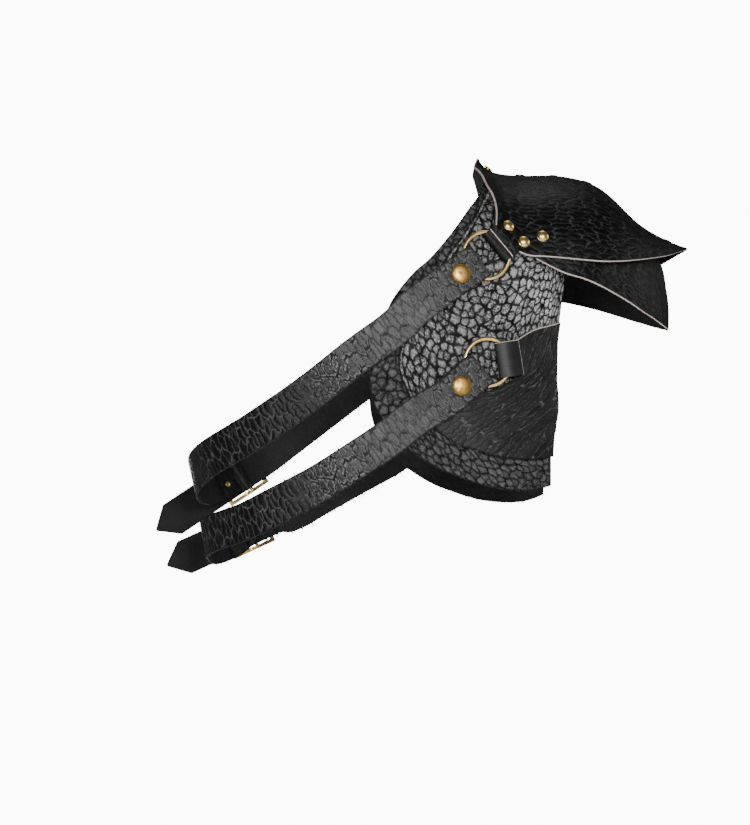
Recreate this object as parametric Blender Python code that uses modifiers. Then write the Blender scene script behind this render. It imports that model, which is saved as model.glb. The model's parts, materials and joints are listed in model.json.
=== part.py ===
"""Leather pauldron for one shoulder, with straps, O-rings, rivets and eyelets.

The wearer faces +Y and the guarded shoulder is at +X. The origin is the top of
that shoulder, under the leather. Every sheet lies on one smooth body form, and
the front is the mirror image of the back.
"""
import math
from collections import namedtuple

import bmesh
import bpy
from mathutils import Vector

# The body form that the leather follows
SHOULDER_HALF_WIDTH = 0.211
CHEST_HALF_DEPTH = 0.115
SHOULDER_ARCH = 0.080
ORIGIN_SHARE = 0.7763
SQUARENESS = 2.6
BODY_CLEARANCE = 0.001

# Leather
PLATE_LEATHER = 0.0020
STRAP_LEATHER = 0.0025
LAYER_GAP = 0.0010
FOLD_GAP = 0.0004
SADDLE_DROP = 0.313
WING_REACH = 0.171
WING_RISE = 0.048
WING_FALL = 0.079
WING_DEPTH = 0.116
UNDER_FALL = 0.136

# Straps and tabs
STRAP_WIDTH = 0.038
TAB_WIDTH = 0.036
FOLD_SLACK = 0.002
FOLD_BACK = 0.048
BUCKLE_FOLD_BACK = 0.038
UPPER_FREE_END = 0.115
LOWER_FREE_END = 0.102
POINT_LENGTH = 0.022
WING_TAB_ROOT = 0.028
PANEL_TAB_ROOT = 0.034

# Rings, rivets, eyelets and buckles
RING_ROOM = 0.005
RING_WIRE = 0.0040
METAL_GAP = 0.0003
CAP_DIAMETER = 0.0205
CAP_HEIGHT = 0.0034
UPPER_CAP_REACH = 0.0350
LOWER_CAP_REACH = 0.0385
DOME_DIAMETER = 0.0122
DOME_HEIGHT = 0.0042
FLAT_HEAD_DIAMETER = 0.0090
FLAT_HEAD_HEIGHT = 0.0014
POST_DIAMETER = 0.0034
TAIL_DIAMETER = 0.0060
TAIL_HEIGHT = 0.0009
EYELET_DIAMETER = 0.0105
EYELET_BORE = 0.0052
EYELET_WALL = 0.0005
EYELET_FLANGE = 0.0008
BUCKLE_BAR = 0.0036
BUCKLE_RAIL = 0.0040
BUCKLE_PLATE = 0.0030
BUCKLE_ROOM = 0.0016
BUCKLE_WINDOW = 0.044
BAR_STAND = 0.0068

MIDDLE_X = -ORIGIN_SHARE * SHOULDER_HALF_WIDTH
RING_RADIUS = STRAP_WIDTH / 2 + RING_ROOM
STRAP_FOLD = RING_WIRE / 2 + METAL_GAP + STRAP_LEATHER / 2
TAB_FOLD = RING_WIRE / 2 + METAL_GAP + PLATE_LEATHER / 2
BAR_FOLD = BUCKLE_BAR / 2 + METAL_GAP + STRAP_LEATHER / 2
PAST_WIRE = RING_RADIUS + RING_WIRE / 2 + 2 * METAL_GAP
BASE_STAND = BODY_CLEARANCE + PLATE_LEATHER / 2
MAIN_STAND = BASE_STAND + PLATE_LEATHER + LAYER_GAP
PANEL_STAND = MAIN_STAND + PLATE_LEATHER + LAYER_GAP
WIRE_STAND = PLATE_LEATHER / 2 + FOLD_GAP + STRAP_LEATHER / 2 + STRAP_FOLD
UPPER_RING_STAND = MAIN_STAND + WIRE_STAND
LOWER_RING_STAND = PANEL_STAND + WIRE_STAND
TAIL_ROOM = TAIL_HEIGHT + 2 * METAL_GAP
TAB_STAND = MAIN_STAND + 2 * (PLATE_LEATHER + LAYER_GAP) + TAIL_ROOM

BACK = -1
FRONT = 1
TAB_COLUMNS = 4
CREST_SHARE = 0.965

Frame = namedtuple("Frame", "centre along across normal")
Stands = namedtuple("Stands", "inner outer hem")


def table(columns, *rows):
    """Rows whose columns have names."""
    row_type = namedtuple("Row", columns)
    return [row_type(*row) for row in rows]


# The form: down is a share of SADDLE_DROP, across, height and width of SHOULDER_HALF_WIDTH,
# depth of CHEST_HALF_DEPTH
SHOULDER_LINE = table(
    "across height", (0.16, 0.40), (0.31, 0.265), (0.51, 0.126), (0.57, 0.088), (0.68, 0.040), (0.78, 0.005),
    (0.85, -0.02), (0.97, -0.06), (1.06, -0.095))
GUARDED_SIDE = table(
    "down width", (-0.20, 0.97), (0.0, 1.0), (0.16, 1.01), (0.43, 1.005), (0.67, 0.99), (0.97, 0.972), (1.34, 0.948))
FAR_SIDE = table(
    "down width", (0.0, 1.0), (0.43, 0.99), (0.67, 0.945), (0.83, 0.91), (0.97, 0.862), (1.20, 0.80), (1.34, 0.768))
CHEST = table("down depth", (-0.2, 1.0), (0.0, 1.0), (0.64, 1.0), (0.96, 0.94), (1.34, 0.87))

# Outlines of the sheets on the form: across from the middle is a share of SHOULDER_HALF_WIDTH, and down
# a share of SADDLE_DROP. An inner or outer edge starts on the crest of the shoulder.
BASE_INNER = table(
    "across down", (0.57, -0.10), (0.53, 0.015), (0.46, 0.093), (0.36, 0.188), (0.27, 0.258), (0.11, 0.378),
    (0.05, 0.46), (0.0, 0.60), (0.0, 0.68), (0.05, 0.77), (0.175, 0.87))
BASE_HEM = table(
    "across down", (0.175, 0.87), (0.36, 0.943), (0.50, 0.977), (0.64, 0.996), (0.74, 1.0), (0.81, 0.992),
    (0.87, 0.977))
BASE_OUTER = table(
    "across down", (0.93, -0.10), (0.93, 0.15), (0.90, 0.35), (0.88, 0.62), (0.87, 0.89), (0.87, 0.977))
MAIN_INNER = table(
    "across down", (0.60, -0.10), (0.56, 0.012), (0.535, 0.052), (0.47, 0.14), (0.38, 0.23), (0.24, 0.36),
    (0.165, 0.48), (0.135, 0.58), (0.15, 0.66), (0.20, 0.73))
MAIN_HEM = table("across down", (0.20, 0.73), (0.33, 0.80), (0.52, 0.84), (0.70, 0.84), (0.885, 0.80))
MAIN_OUTER = table(
    "across down", (0.955, -0.10), (0.953, 0.15), (0.938, 0.236), (0.926, 0.33), (0.90, 0.45), (0.892, 0.62),
    (0.885, 0.80))
PANEL_TOP = table("across down", (0.679, 0.492), (0.789, 0.467), (0.898, 0.44))
PANEL_ROOT = table("across down", (0.679, 0.492), (0.698, 0.612))
PANEL_HIDDEN = table("across down", (0.698, 0.612), (0.615, 0.658), (0.468, 0.70), (0.35, 0.75), (0.305, 0.803))
PANEL_OUTER = table(
    "across down", (0.898, 0.44), (0.886, 0.503), (0.879, 0.566), (0.879, 0.632), (0.888, 0.715), (0.868, 0.812),
    (0.861, 0.883))
PANEL_HEM = table(
    "across down", (0.305, 0.803), (0.40, 0.85), (0.52, 0.876), (0.67, 0.897), (0.775, 0.897), (0.861, 0.883))

# The wing plates: reach is a share of WING_REACH, rise of WING_RISE, fall of WING_FALL or UNDER_FALL,
# and depth of WING_DEPTH
TOP_RIDGE = table(
    "reach rise", (-0.294, 1.0), (-0.236, 0.74), (-0.154, 0.63), (-0.03, 0.583), (0.125, 0.583), (0.22, 0.56),
    (0.31, 0.494), (0.375, 0.425), (0.45, 0.29), (0.51, 0.11), (0.565, -0.09), (0.62, -0.315), (0.71, -0.583),
    (0.805, -0.763), (0.90, -0.92), (1.0, -1.03))
TOP_HEM = table(
    "reach depth fall", (-0.071, 0.947, 0.923), (0.058, 0.914, 0.94), (0.182, 0.88, 0.953), (0.305, 0.846, 0.971),
    (0.43, 0.792, 0.98), (0.558, 0.679, 0.952), (0.692, 0.518, 0.89), (0.83, 0.321, 0.806), (0.902, 0.196, 0.744),
    (0.965, 0.095, 0.675), (1.0, 0.036, 0.642))
TOP_INNER = table(
    "reach depth fall", (-0.294, 0.0, -0.607), (-0.312, 0.07, -0.54), (-0.322, 0.172, -0.44), (-0.316, 0.328, -0.311),
    (-0.295, 0.491, -0.18), (-0.265, 0.638, -0.072), (-0.24, 0.733, 0.011), (-0.225, 0.802, 0.097),
    (-0.209, 0.853, 0.187), (-0.206, 0.905, 0.276), (-0.209, 0.94, 0.37), (-0.22, 0.961, 0.45))
UNDER_RIDGE = table(
    "reach fall", (0.047, -0.158), (0.216, -0.15), (0.374, -0.103), (0.51, 0.007), (0.62, 0.154), (0.73, 0.29),
    (0.80, 0.382), (0.84, 0.47), (0.86, 0.603), (0.876, 0.743), (0.886, 0.882), (0.88, 0.985))
UNDER_HEM = table(
    "reach depth fall", (0.037, 0.872, 0.562), (0.198, 0.846, 0.662), (0.344, 0.795, 0.711), (0.471, 0.66, 0.768),
    (0.601, 0.509, 0.838), (0.69, 0.375, 0.892), (0.79, 0.223, 0.949), (0.854, 0.098, 0.989), (0.878, 0.036, 1.0))

# Where the hardware sits: across and down as for the outlines, along as a share of the wing's length
# and round as a share of the way from its back hem to its front hem
RINGS = table("name across down stand", ("upper", 0.547, 0.239, UPPER_RING_STAND),
              ("lower", 0.548, 0.589, LOWER_RING_STAND))
DOMES = table("name along round", ("inner", 0.116, 0.05), ("middle", 0.237, 0.039), ("outer", 0.313, 0.068))
EYELETS = table("along round", (0.095, 0.5), (0.271, 0.5), (0.40, 0.5), (0.529, 0.461), (0.676, 0.5),
                (0.808, 0.5), (0.918, 0.5))

# Straps: turn runs in degrees round the body from the middle of the back past the far side to the
# front, down is a share of SADDLE_DROP, and lift, clear of the plates beneath, of STRAP_WIDTH
ROUTE = "turn down plates lift"
BACK_ROUTES = {
    "upper": table(ROUTE, (-7.5, 0.415, 2, 0.11), (-3.4, 0.48, 2, 0.07), (1.3, 0.562, 2, 0.03),
                   (13.3, 0.694, 1, 0.04), (31.8, 0.808, 0.5, 0.03), (60.8, 0.896, 0, 0.03), (90, 0.938, 0, 0.03),
                   (110, 0.955, 0, 0.05), (124, 0.935, 0, 0.10)),
    "lower": table(ROUTE, (-7.9, 0.767, 3, 0.09), (-2.9, 0.829, 2.5, 0.06), (1.5, 0.898, 2, 0.03),
                   (11.6, 0.982, 1, 0.04), (28.8, 1.06, 0.5, 0.03), (40.5, 1.097, 0, 0.03),
                   (69.6, 1.134, 0, 0.03), (90, 1.153, 0, 0.03), (110, 1.158, 0, 0.05), (124, 1.136, 0, 0.10)),
}
FRONT_ROUTES = {
    "upper": table(ROUTE, (187.5, 0.43, 2, 0.11), (183.4, 0.50, 2, 0.07), (178.7, 0.575, 2, 0.03),
                   (168, 0.695, 1, 0.06), (157, 0.785, 0.5, 0.12)),
    "lower": table(ROUTE, (187.9, 0.775, 3, 0.09), (183, 0.835, 2.5, 0.06), (178, 0.90, 2, 0.03),
                   (168, 0.975, 1, 0.06), (157, 1.035, 0.5, 0.12)),
}
BUCKLES = table("name turn down slope free_end", ("upper", 138.0, 0.895, 33.0, UPPER_FREE_END),
                ("lower", 138.0, 1.085, 24.0, LOWER_FREE_END))
CAP_REACHES = {"upper": UPPER_CAP_REACH, "lower": LOWER_CAP_REACH}
STRAP_SLOPES = {"upper": -36.0, "lower": -41.0}
TAB_SLOPES = {"upper": 41.0, "lower": 9.5}


def power(value, exponent):
    """A power that keeps its sign."""
    return math.copysign(abs(value) ** exponent, value)


def smooth(knots, values, at):
    """The cubic curve through numbers or vectors at their knots."""
    at = min(max(at, knots[0]), knots[-1])
    last = len(knots) - 1
    first = next(k for k in range(last) if at <= knots[k + 1])
    slopes = []
    for knot in (first, first + 1):
        before, after = max(knot - 1, 0), min(knot + 1, last)
        slopes.append((values[after] - values[before]) / (knots[after] - knots[before]))
    span = knots[first + 1] - knots[first]
    t = (at - knots[first]) / span
    return (values[first] * (2 * t**3 - 3 * t**2 + 1) + slopes[0] * (span * (t**3 - 2 * t**2 + t))
            + values[first + 1] * (3 * t**2 - 2 * t**3) + slopes[1] * (span * (t**3 - t**2)))


def curve(points):
    """A function of the share of the way along a smooth curve through the points."""
    lengths = [0.0]
    for start, end in zip(points, points[1:]):
        lengths.append(lengths[-1] + (end - start).length)
    knots = [length / lengths[-1] for length in lengths]
    return lambda share: smooth(knots, points, share)


def look_up(rows, at):
    """The second column of a table at a value of its first."""
    return smooth([row[0] for row in rows], [row[1] for row in rows], at)


def shoulder_height(across):
    return look_up(SHOULDER_LINE, across / SHOULDER_HALF_WIDTH) * SHOULDER_HALF_WIDTH


def half_width(across, height):
    side = GUARDED_SIDE if across >= 0 else FAR_SIDE
    return look_up(side, -height / SADDLE_DROP) * SHOULDER_HALF_WIDTH


def half_depth(height):
    return look_up(CHEST, -height / SADDLE_DROP) * CHEST_HALF_DEPTH


def locate(row):
    """A row's place on the form: the way round from the middle, and the way down from the crest."""
    across = row.across * SHOULDER_HALF_WIDTH
    height = -row.down * SADDLE_DROP
    turn = math.asin(power(across / half_width(across, height), SQUARENESS / 2))
    drop = max(shoulder_height(across) - height, 0.0)
    if drop < SHOULDER_ARCH:
        travel = SHOULDER_ARCH * math.acos(1 - drop / SHOULDER_ARCH)
    else:
        travel = drop + SHOULDER_ARCH * (math.pi / 2 - 1)
    return Vector((turn * SHOULDER_HALF_WIDTH, travel))


def form_point(lateral, travel):
    """The point of the form at a way round and a signed way down, negative on the back."""
    share = power(math.sin(lateral / SHOULDER_HALF_WIDTH), 2 / SQUARENESS)
    way = abs(travel)
    if way < SHOULDER_ARCH * math.pi / 2:
        drop = SHOULDER_ARCH * (1 - math.cos(way / SHOULDER_ARCH))
        arch = math.sin(way / SHOULDER_ARCH)
    else:
        drop = way - SHOULDER_ARCH * (math.pi / 2 - 1)
        arch = 1.0
    height = -drop
    for _ in range(4):
        across = half_width(share, height) * share
        height = shoulder_height(across) - drop
    depth = half_depth(height) * (1 - abs(share) ** SQUARENESS) ** (1 / SQUARENESS) * arch
    return Vector((MIDDLE_X + across, math.copysign(depth, travel), height))


def form_normal(lateral, travel):
    step = 0.0005
    round_way = form_point(lateral + step, travel) - form_point(lateral - step, travel)
    down_way = form_point(lateral, travel + step) - form_point(lateral, travel - step)
    return round_way.cross(down_way).normalized()


def on_form(lateral, travel, stand):
    return form_point(lateral, travel) + form_normal(lateral, travel) * stand


def raised(point, least):
    """The point, moved out where it stands less than least over the form."""
    across = point.x - MIDDLE_X
    share = min(across / half_width(across, point.z), CREST_SHARE)
    lateral = math.asin(power(share, SQUARENESS / 2)) * SHOULDER_HALF_WIDTH
    ways = [math.copysign(0.05 * SHOULDER_ARCH * k, point.y) for k in range(50)]
    way = min(ways, key=lambda choice: (point - form_point(lateral, choice)).length)
    normal = form_normal(lateral, way)
    stand = (point - form_point(lateral, way)).dot(normal)
    return point + normal * max(least - stand, 0)


def girth(point):
    """How far out a point lies from the body's upright axis, where 1 is on the form."""
    across = point.x - MIDDLE_X
    return (abs(across / half_width(across, point.z))**SQUARENESS
            + abs(point.y / half_depth(point.z))**SQUARENESS)**(1 / SQUARENESS)


def body_normal(point):
    """The normal of the body's wall beside a point."""
    step = 0.001
    return Vector([girth(point + step * axis) - girth(point - step * axis)
                   for axis in (Vector((1, 0, 0)), Vector((0, 1, 0)), Vector((0, 0, 1)))]).normalized()


def body_point(turn, down, stand):
    """A point round the body at a turn in degrees from the middle of the back."""
    height = -down * SADDLE_DROP
    sine = -math.sin(math.radians(turn))
    cosine = -math.cos(math.radians(turn))
    point = Vector((MIDDLE_X + half_width(sine, height) * power(sine, 2 / SQUARENESS),
                    half_depth(height) * power(cosine, 2 / SQUARENESS), height))
    return point + body_normal(point) * stand


def route_point(row):
    plates = BODY_CLEARANCE + row.plates * (PLATE_LEATHER + LAYER_GAP)
    return body_point(row.turn, row.down, plates + STRAP_LEATHER / 2 + row.lift * STRAP_WIDTH)


def in_frame(frame, along, across, out):
    return frame.centre + frame.along * along + frame.across * across + frame.normal * out


def mirrored(point):
    return Vector((point.x, -point.y, point.z))


def mirrored_frame(frame):
    return Frame(*(mirrored(vector) for vector in frame))


def ring_frame(row):
    """The frame of a back ring: along points to the guarded side, and across points up."""
    spot = locate(row)
    lateral, travel = spot.x, -spot.y
    normal = form_normal(lateral, travel)
    along = Vector((0, 0, 1)).cross(normal).normalized() * -1
    if along.x < 0:
        along = -along
    up = normal.cross(along)
    if up.z < 0:
        up = -up
    return Frame(on_form(lateral, travel, row.stand), along, up, normal)


def sloped(frame, degrees, toward):
    """A frame along a strap or tab that leaves the ring toward -1 or +1 at a slope."""
    slope = math.radians(degrees)
    along = (frame.along * toward * math.cos(slope) + frame.across * math.sin(slope)).normalized()
    return Frame(frame.centre, along, frame.normal.cross(along) * toward, frame.normal)


def buckle_frame(row):
    """The frame of a buckle's bar: along follows the free end of the strap."""
    centre = body_point(row.turn, row.down, BAR_STAND)
    normal = body_normal(centre)
    level = Vector((0, 0, 1)).cross(normal)
    if level.x > 0:
        level = -level
    slope = math.radians(row.slope)
    along = level * math.cos(slope) + Vector((0, 0, -math.sin(slope)))
    return Frame(centre, along, normal.cross(along), normal)


def pocket(width):
    """How far from the ring's middle a fold of this width turns over."""
    return math.sqrt(RING_RADIUS**2 - (width / 2)**2) - FOLD_SLACK


def fold_round(reach, radius, steps=5):
    """Places along and out of a half turn, from the outer side to the inner side."""
    angles = [math.pi * step / steps for step in range(steps + 1)]
    return [(reach - radius * math.sin(angle), radius * math.cos(angle)) for angle in angles]


def new_material(name, color, roughness, metallic):
    material = bpy.data.materials.new(name)
    material.use_nodes = True
    shader = material.node_tree.nodes["Principled BSDF"]
    shader.inputs["Base Color"].default_value = color
    shader.inputs["Roughness"].default_value = roughness
    shader.inputs["Metallic"].default_value = metallic
    return material


def link(mesh, name, group, color):
    part = bpy.data.objects.new(name, mesh)
    group.objects.link(part)
    mesh.materials.append(new_material(name, *color))
    return part


LEATHER = ((0.012, 0.012, 0.013, 1.0), 0.42, 0.0)
BRASS = ((0.55, 0.38, 0.16, 1.0), 0.32, 1.0)


def leather_sheet(name, grids, thickness, group):
    """One sheet of leather through grids of points that share edges."""
    build = bmesh.new()
    for rows in grids:
        lines = [[build.verts.new(point) for point in row] for row in rows]
        for below, above in zip(lines, lines[1:]):
            for k in range(len(below) - 1):
                build.faces.new((below[k], below[k + 1], above[k + 1], above[k]))
    bmesh.ops.remove_doubles(build, verts=build.verts, dist=0.00001)
    bmesh.ops.recalc_face_normals(build, faces=build.faces)
    mesh = bpy.data.meshes.new(name)
    build.to_mesh(mesh)
    build.free()
    part = link(mesh, name, group, LEATHER)
    solid = part.modifiers.new("leather", "SOLIDIFY")
    solid.thickness = thickness
    solid.offset = 0.0
    return part


def saddle(inner_rows, outer_rows, hem_rows, stand, columns):
    """Rows of a sheet over the shoulder, from the back hem over the crest to the front hem."""
    inner = curve([locate(row) for row in inner_rows])
    outer = curve([locate(row) for row in outer_rows])
    hem = curve([locate(row) for row in hem_rows])
    crest_rows, wall_rows, crest_share = 9, 7, 0.37
    shares = [crest_share * k / crest_rows for k in range(crest_rows)]
    shares += [crest_share + (1 - crest_share) * k / wall_rows for k in range(wall_rows + 1)]
    places = [(share, BACK) for share in reversed(shares)] + [(share, FRONT) for share in shares[1:]]
    rows = []
    for share, side in places:
        row = []
        for k in range(columns + 1):
            u = k / columns
            spot = inner(share).lerp(outer(share), u)
            spot += (hem(u) - inner(1).lerp(outer(1), u)) * share**2
            row.append(on_form(spot.x, side * spot.y, stand))
        rows.append(row)
    return rows


def panel_grids(tab):
    """The lower panel on the back, and its tab looped round the lower ring."""
    root, hidden = (curve([locate(row) for row in rows]) for rows in (PANEL_ROOT, PANEL_HIDDEN))
    top, outer, hem = (curve([locate(row) for row in rows]) for rows in (PANEL_TOP, PANEL_OUTER, PANEL_HEM))
    hidden_rows, columns, root_share = 6, 8, 0.30
    root_out = -TAB_FOLD + 0.4 * PLATE_LEATHER
    root_line = [in_frame(tab, PANEL_TAB_ROOT, TAB_WIDTH * (0.5 - k / TAB_COLUMNS), root_out)
                 for k in range(TAB_COLUMNS + 1)]
    shares = [root_share * k / TAB_COLUMNS for k in range(TAB_COLUMNS)]
    shares += [root_share + (1 - root_share) * k / hidden_rows for k in range(hidden_rows + 1)]
    rows = []
    for k, v in enumerate(shares):
        edge = root(v / root_share) if v <= root_share else hidden((v - root_share) / (1 - root_share))
        lift = root_line[min(k, TAB_COLUMNS)] - on_form(
            *((edge.x, -edge.y) if k <= TAB_COLUMNS else (root(1).x, -root(1).y)), PANEL_STAND)
        lift *= max(1 - max(k - TAB_COLUMNS, 0) / 3, 0)**2
        row = []
        for column in range(columns + 1):
            u = column / columns
            spot = edge.lerp(outer(v), u) + top(u).lerp(hem(u), v)
            spot -= (root(0).lerp(top(1), u)).lerp(hidden(1).lerp(outer(1), u), v)
            row.append(on_form(spot.x, -spot.y, PANEL_STAND) + lift * (1 - u)**4)
        rows.append(row)
    reach = pocket(TAB_WIDTH)
    end = PANEL_TAB_ROOT + 0.5 * PLATE_LEATHER
    profile = [(end, root_out + PLATE_LEATHER + 2 * FOLD_GAP), (PAST_WIRE + 1.5 * PLATE_LEATHER, TAB_FOLD * 0.75),
               (PAST_WIRE - PLATE_LEATHER, TAB_FOLD)]
    profile += fold_round(reach, TAB_FOLD) + [(PAST_WIRE, -TAB_FOLD)]
    loop = [[in_frame(tab, along, TAB_WIDTH * (0.5 - k / TAB_COLUMNS), out) for k in range(TAB_COLUMNS + 1)]
            for along, out in profile]
    return [rows, loop + [root_line]]


def ridge_point(row):
    """A ridge point of a wing plate."""
    height = row.rise * WING_RISE if hasattr(row, "rise") else -row.fall * UNDER_FALL
    return Vector((row.reach * WING_REACH, 0, height))


def wing_point(row, fall):
    return Vector((row.reach * WING_REACH, row.depth * WING_DEPTH, -row.fall * fall))


def wing_section(ridge, hem, share):
    """An arch from the ridge to the hem, level at the ridge and upright at the hem."""
    arc = share * math.pi / 2
    return Vector((ridge.x + (hem.x - ridge.x) * share, hem.y * math.sin(arc),
                   ridge.z - (ridge.z - hem.z) * (1 - math.cos(arc))))


def wing_rows(ridges, hems, inner, half_rows, stands):
    """Rows from the back hem over the ridge to the front hem, clear of the form by its stands."""
    columns = len(ridges)
    rows = []
    for number in range(half_rows, -1, -1):
        share = number / half_rows
        shift = inner(share) - wing_section(ridges[0], hems[0], share)
        row = []
        for k in range(columns):
            point = wing_section(ridges[k], hems[k], share) + shift * (1 - k / (columns - 1))**5
            least = stands.inner + (stands.outer - stands.inner) * min(3 * k / columns, 1)
            least += (stands.hem - least) * share**3
            row.append(mirrored(raised(point, least)))
        rows.append(row)
    return rows + [[mirrored(point) for point in row] for row in reversed(rows[:-1])]


def under_layer(rows, cell, share, depth):
    """Points below the back hem's tab columns, part of a cell up from the hem."""
    line = []
    for k in range(TAB_COLUMNS + 1):
        here, up = rows[cell][k], rows[cell + 1][k]
        beside = rows[cell][k + 1] if k == 0 else rows[cell][k - 1]
        normal = (beside - here).cross(up - here).normalized()
        if normal.y > 0:
            normal = -normal
        line.append(here.lerp(up, share) - normal * depth)
    return line


def top_plate_grids(tab):
    """The top plate, and a tab at back and front looped round the upper rings."""
    columns, half_rows, tab_share = 19, 7, 0.14
    ridge = curve([ridge_point(row) for row in TOP_RIDGE])
    shares = [tab_share * k / TAB_COLUMNS for k in range(TAB_COLUMNS + 1)]
    rest = columns - TAB_COLUMNS
    shares += [tab_share + (1 - tab_share) * (k + 1) / rest for k in range(rest)]
    root_line = [in_frame(tab, WING_TAB_ROOT, TAB_WIDTH * (0.5 - k / TAB_COLUMNS), TAB_FOLD)
                 for k in range(TAB_COLUMNS + 1)]
    roots = [mirrored(point) for point in root_line]
    hem_curve = curve([roots[-1]] + [wing_point(row, WING_FALL) for row in TOP_HEM])
    hems = roots + [hem_curve((k + 1) / rest) for k in range(rest)]
    inner = curve([wing_point(row, WING_FALL) for row in TOP_INNER] + [roots[0]])
    stands = Stands(PANEL_STAND, PANEL_STAND + PLATE_LEATHER + LAYER_GAP, TAB_STAND)
    rows = wing_rows([ridge(share) for share in shares], hems, inner, half_rows, stands)
    profile = [(WING_TAB_ROOT - 2.5 * PLATE_LEATHER, TAB_FOLD)] + fold_round(pocket(TAB_WIDTH), TAB_FOLD)
    profile += [(PAST_WIRE, -TAB_FOLD)]
    loop = [[in_frame(tab, along, TAB_WIDTH * (0.5 - k / TAB_COLUMNS), out) for k in range(TAB_COLUMNS + 1)]
            for along, out in profile]
    depth = PLATE_LEATHER + LAYER_GAP
    fold_back = [under_layer(rows, 0, 0.28, depth), under_layer(rows, 0, 0.65, depth),
                 under_layer(rows, 0, 0.98, depth), under_layer(rows, 1, 0.30, depth)]
    back_tab = [rows[0][:TAB_COLUMNS + 1]] + loop + fold_back
    front_tab = [[mirrored(point) for point in row] for row in back_tab]
    return [rows, back_tab, front_tab]


def sheet_spot(rows, row):
    """The point and the outward normal of a wing plate at a row's shares along and round it."""
    last, end = len(rows) - 1, len(rows[0]) - 1

    def place(round_way, along):
        line, column = min(int(round_way * last), last - 1), min(int(along * end), end - 1)
        across = along * end - column
        near = rows[line][column].lerp(rows[line][column + 1], across)
        far = rows[line + 1][column].lerp(rows[line + 1][column + 1], across)
        return near.lerp(far, round_way * last - line)

    step = 0.07
    along_way = place(row.round, row.along + step) - place(row.round, row.along - step)
    round_way = place(row.round + step, row.along) - place(row.round - step, row.along)
    normal = along_way.cross(round_way).normalized()
    return place(row.round, row.along), normal


def under_plate_grids():
    """The lower wing, whose ridge drops to a point."""
    columns, half_rows = 11, 7
    ridge = curve([ridge_point(row) for row in UNDER_RIDGE])
    hem = curve([wing_point(row, UNDER_FALL) for row in UNDER_HEM])
    shares = [k / columns for k in range(columns + 1)]
    ridges = [ridge(share) for share in shares]
    hems = [hem(share) for share in shares]
    start = (ridges[0], hems[0])
    stands = Stands(PANEL_STAND, PANEL_STAND, PANEL_STAND)
    return [wing_rows(ridges, hems, lambda share: wing_section(*start, share), half_rows, stands)]


def strap_line(stations):
    """Rows across a strap from its centres, cross directions and half widths."""
    return [[centre - cross * half, centre + cross * half] for centre, cross, half in stations]


def run_station(run, share, first_cross, last_cross, blend):
    """The centre, cross direction and half width of a strap part of the way along a smooth run."""
    centre = run(share)
    tangent = (run(share + 0.01) - run(share - 0.01)).normalized()
    cross = body_normal(centre).cross(tangent).normalized()
    if cross.z < 0:
        cross = -cross
    start = max(1 - share / blend, 0)
    end = max(1 - (1 - share) / blend, 0)
    cross = (cross * (1 - start) * (1 - end) + first_cross * start + last_cross * end).normalized()
    return (centre, cross, STRAP_WIDTH / 2)


def ring_end(frame):
    """A strap's fold round a ring, from its fold-back's end to its outer side."""
    close = STRAP_FOLD - STRAP_LEATHER - FOLD_GAP
    profile = [(FOLD_BACK, close), (PAST_WIRE + 4.2 * STRAP_LEATHER, close),
               (PAST_WIRE + 1.8 * STRAP_LEATHER, close),
               (PAST_WIRE, -STRAP_FOLD)]
    profile += list(reversed(fold_round(pocket(STRAP_WIDTH), STRAP_FOLD)))
    profile += [(PAST_WIRE, STRAP_FOLD), (FOLD_BACK + 3.2 * STRAP_LEATHER, STRAP_FOLD)]
    return [(in_frame(frame, along, 0, out), frame.across, STRAP_WIDTH / 2) for along, out in profile]


def back_strap(ring, buckle, route):
    """Rows from a back ring round the far side to the buckle's bar, and round that."""
    stations = ring_end(ring)
    points = [stations[-1][0]] + [route_point(row) for row in route]
    points += [in_frame(buckle, 2.4 * STRAP_LEATHER, 0, BAR_FOLD), in_frame(buckle, 0, 0, BAR_FOLD)]
    run = curve(points)
    length = sum((end - start).length for start, end in zip(points, points[1:]))
    ways = [(length - BUCKLE_FOLD_BACK) * (k + 1) / 24 for k in range(24)]
    near_bar = [BUCKLE_FOLD_BACK * share for share in (0.75, 0.5, 0.25)]
    ways += [length - way for way in near_bar]
    ends = (ring.across, buckle.across, FOLD_BACK / length)
    stations += [run_station(run, way / length, *ends) for way in ways]
    stations += [(in_frame(buckle, along, 0, out), buckle.across, STRAP_WIDTH / 2)
                 for along, out in fold_round(0, BAR_FOLD)]
    stations.append((in_frame(buckle, 0.15 * BUCKLE_FOLD_BACK, 0, -BAR_FOLD), buckle.across, STRAP_WIDTH / 2))
    for way in list(reversed(near_bar)) + [BUCKLE_FOLD_BACK]:
        centre, cross, half = run_station(run, 1 - way / length, *ends)
        tangent = (run(1 - way / length + 0.01) - run(1 - way / length - 0.01)).normalized()
        inward = tangent.cross(cross).normalized()
        if inward.dot(body_normal(centre)) > 0:
            inward = -inward
        stations.append((centre + inward * (STRAP_LEATHER + FOLD_GAP), cross, half))
    return strap_line(stations)


def front_strap(ring, buckle, route, free_end):
    """Rows from a front ring through the buckle to the pointed free end."""
    stations = ring_end(ring)
    out = BAR_FOLD + STRAP_LEATHER + METAL_GAP
    enter = -BUCKLE_WINDOW / 2 - BUCKLE_RAIL
    points = [stations[-1][0]] + [route_point(row) for row in route]
    points += [in_frame(buckle, enter - 4 * STRAP_LEATHER, 0, out), in_frame(buckle, enter, 0, out)]
    run = curve(points)
    length = sum((end - start).length for start, end in zip(points, points[1:]))
    ends = (ring.across, buckle.across, FOLD_BACK / length)
    stations += [run_station(run, (k + 1) / 20, *ends) for k in range(20)]
    half = STRAP_WIDTH / 2
    for along in (0, 0.35 * free_end, free_end - POINT_LENGTH):
        stations.append((in_frame(buckle, along, 0, out), buckle.across, half))
    stations.append((in_frame(buckle, free_end, 0, out), buckle.across, STRAP_LEATHER / 2))
    return strap_line(stations)


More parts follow.
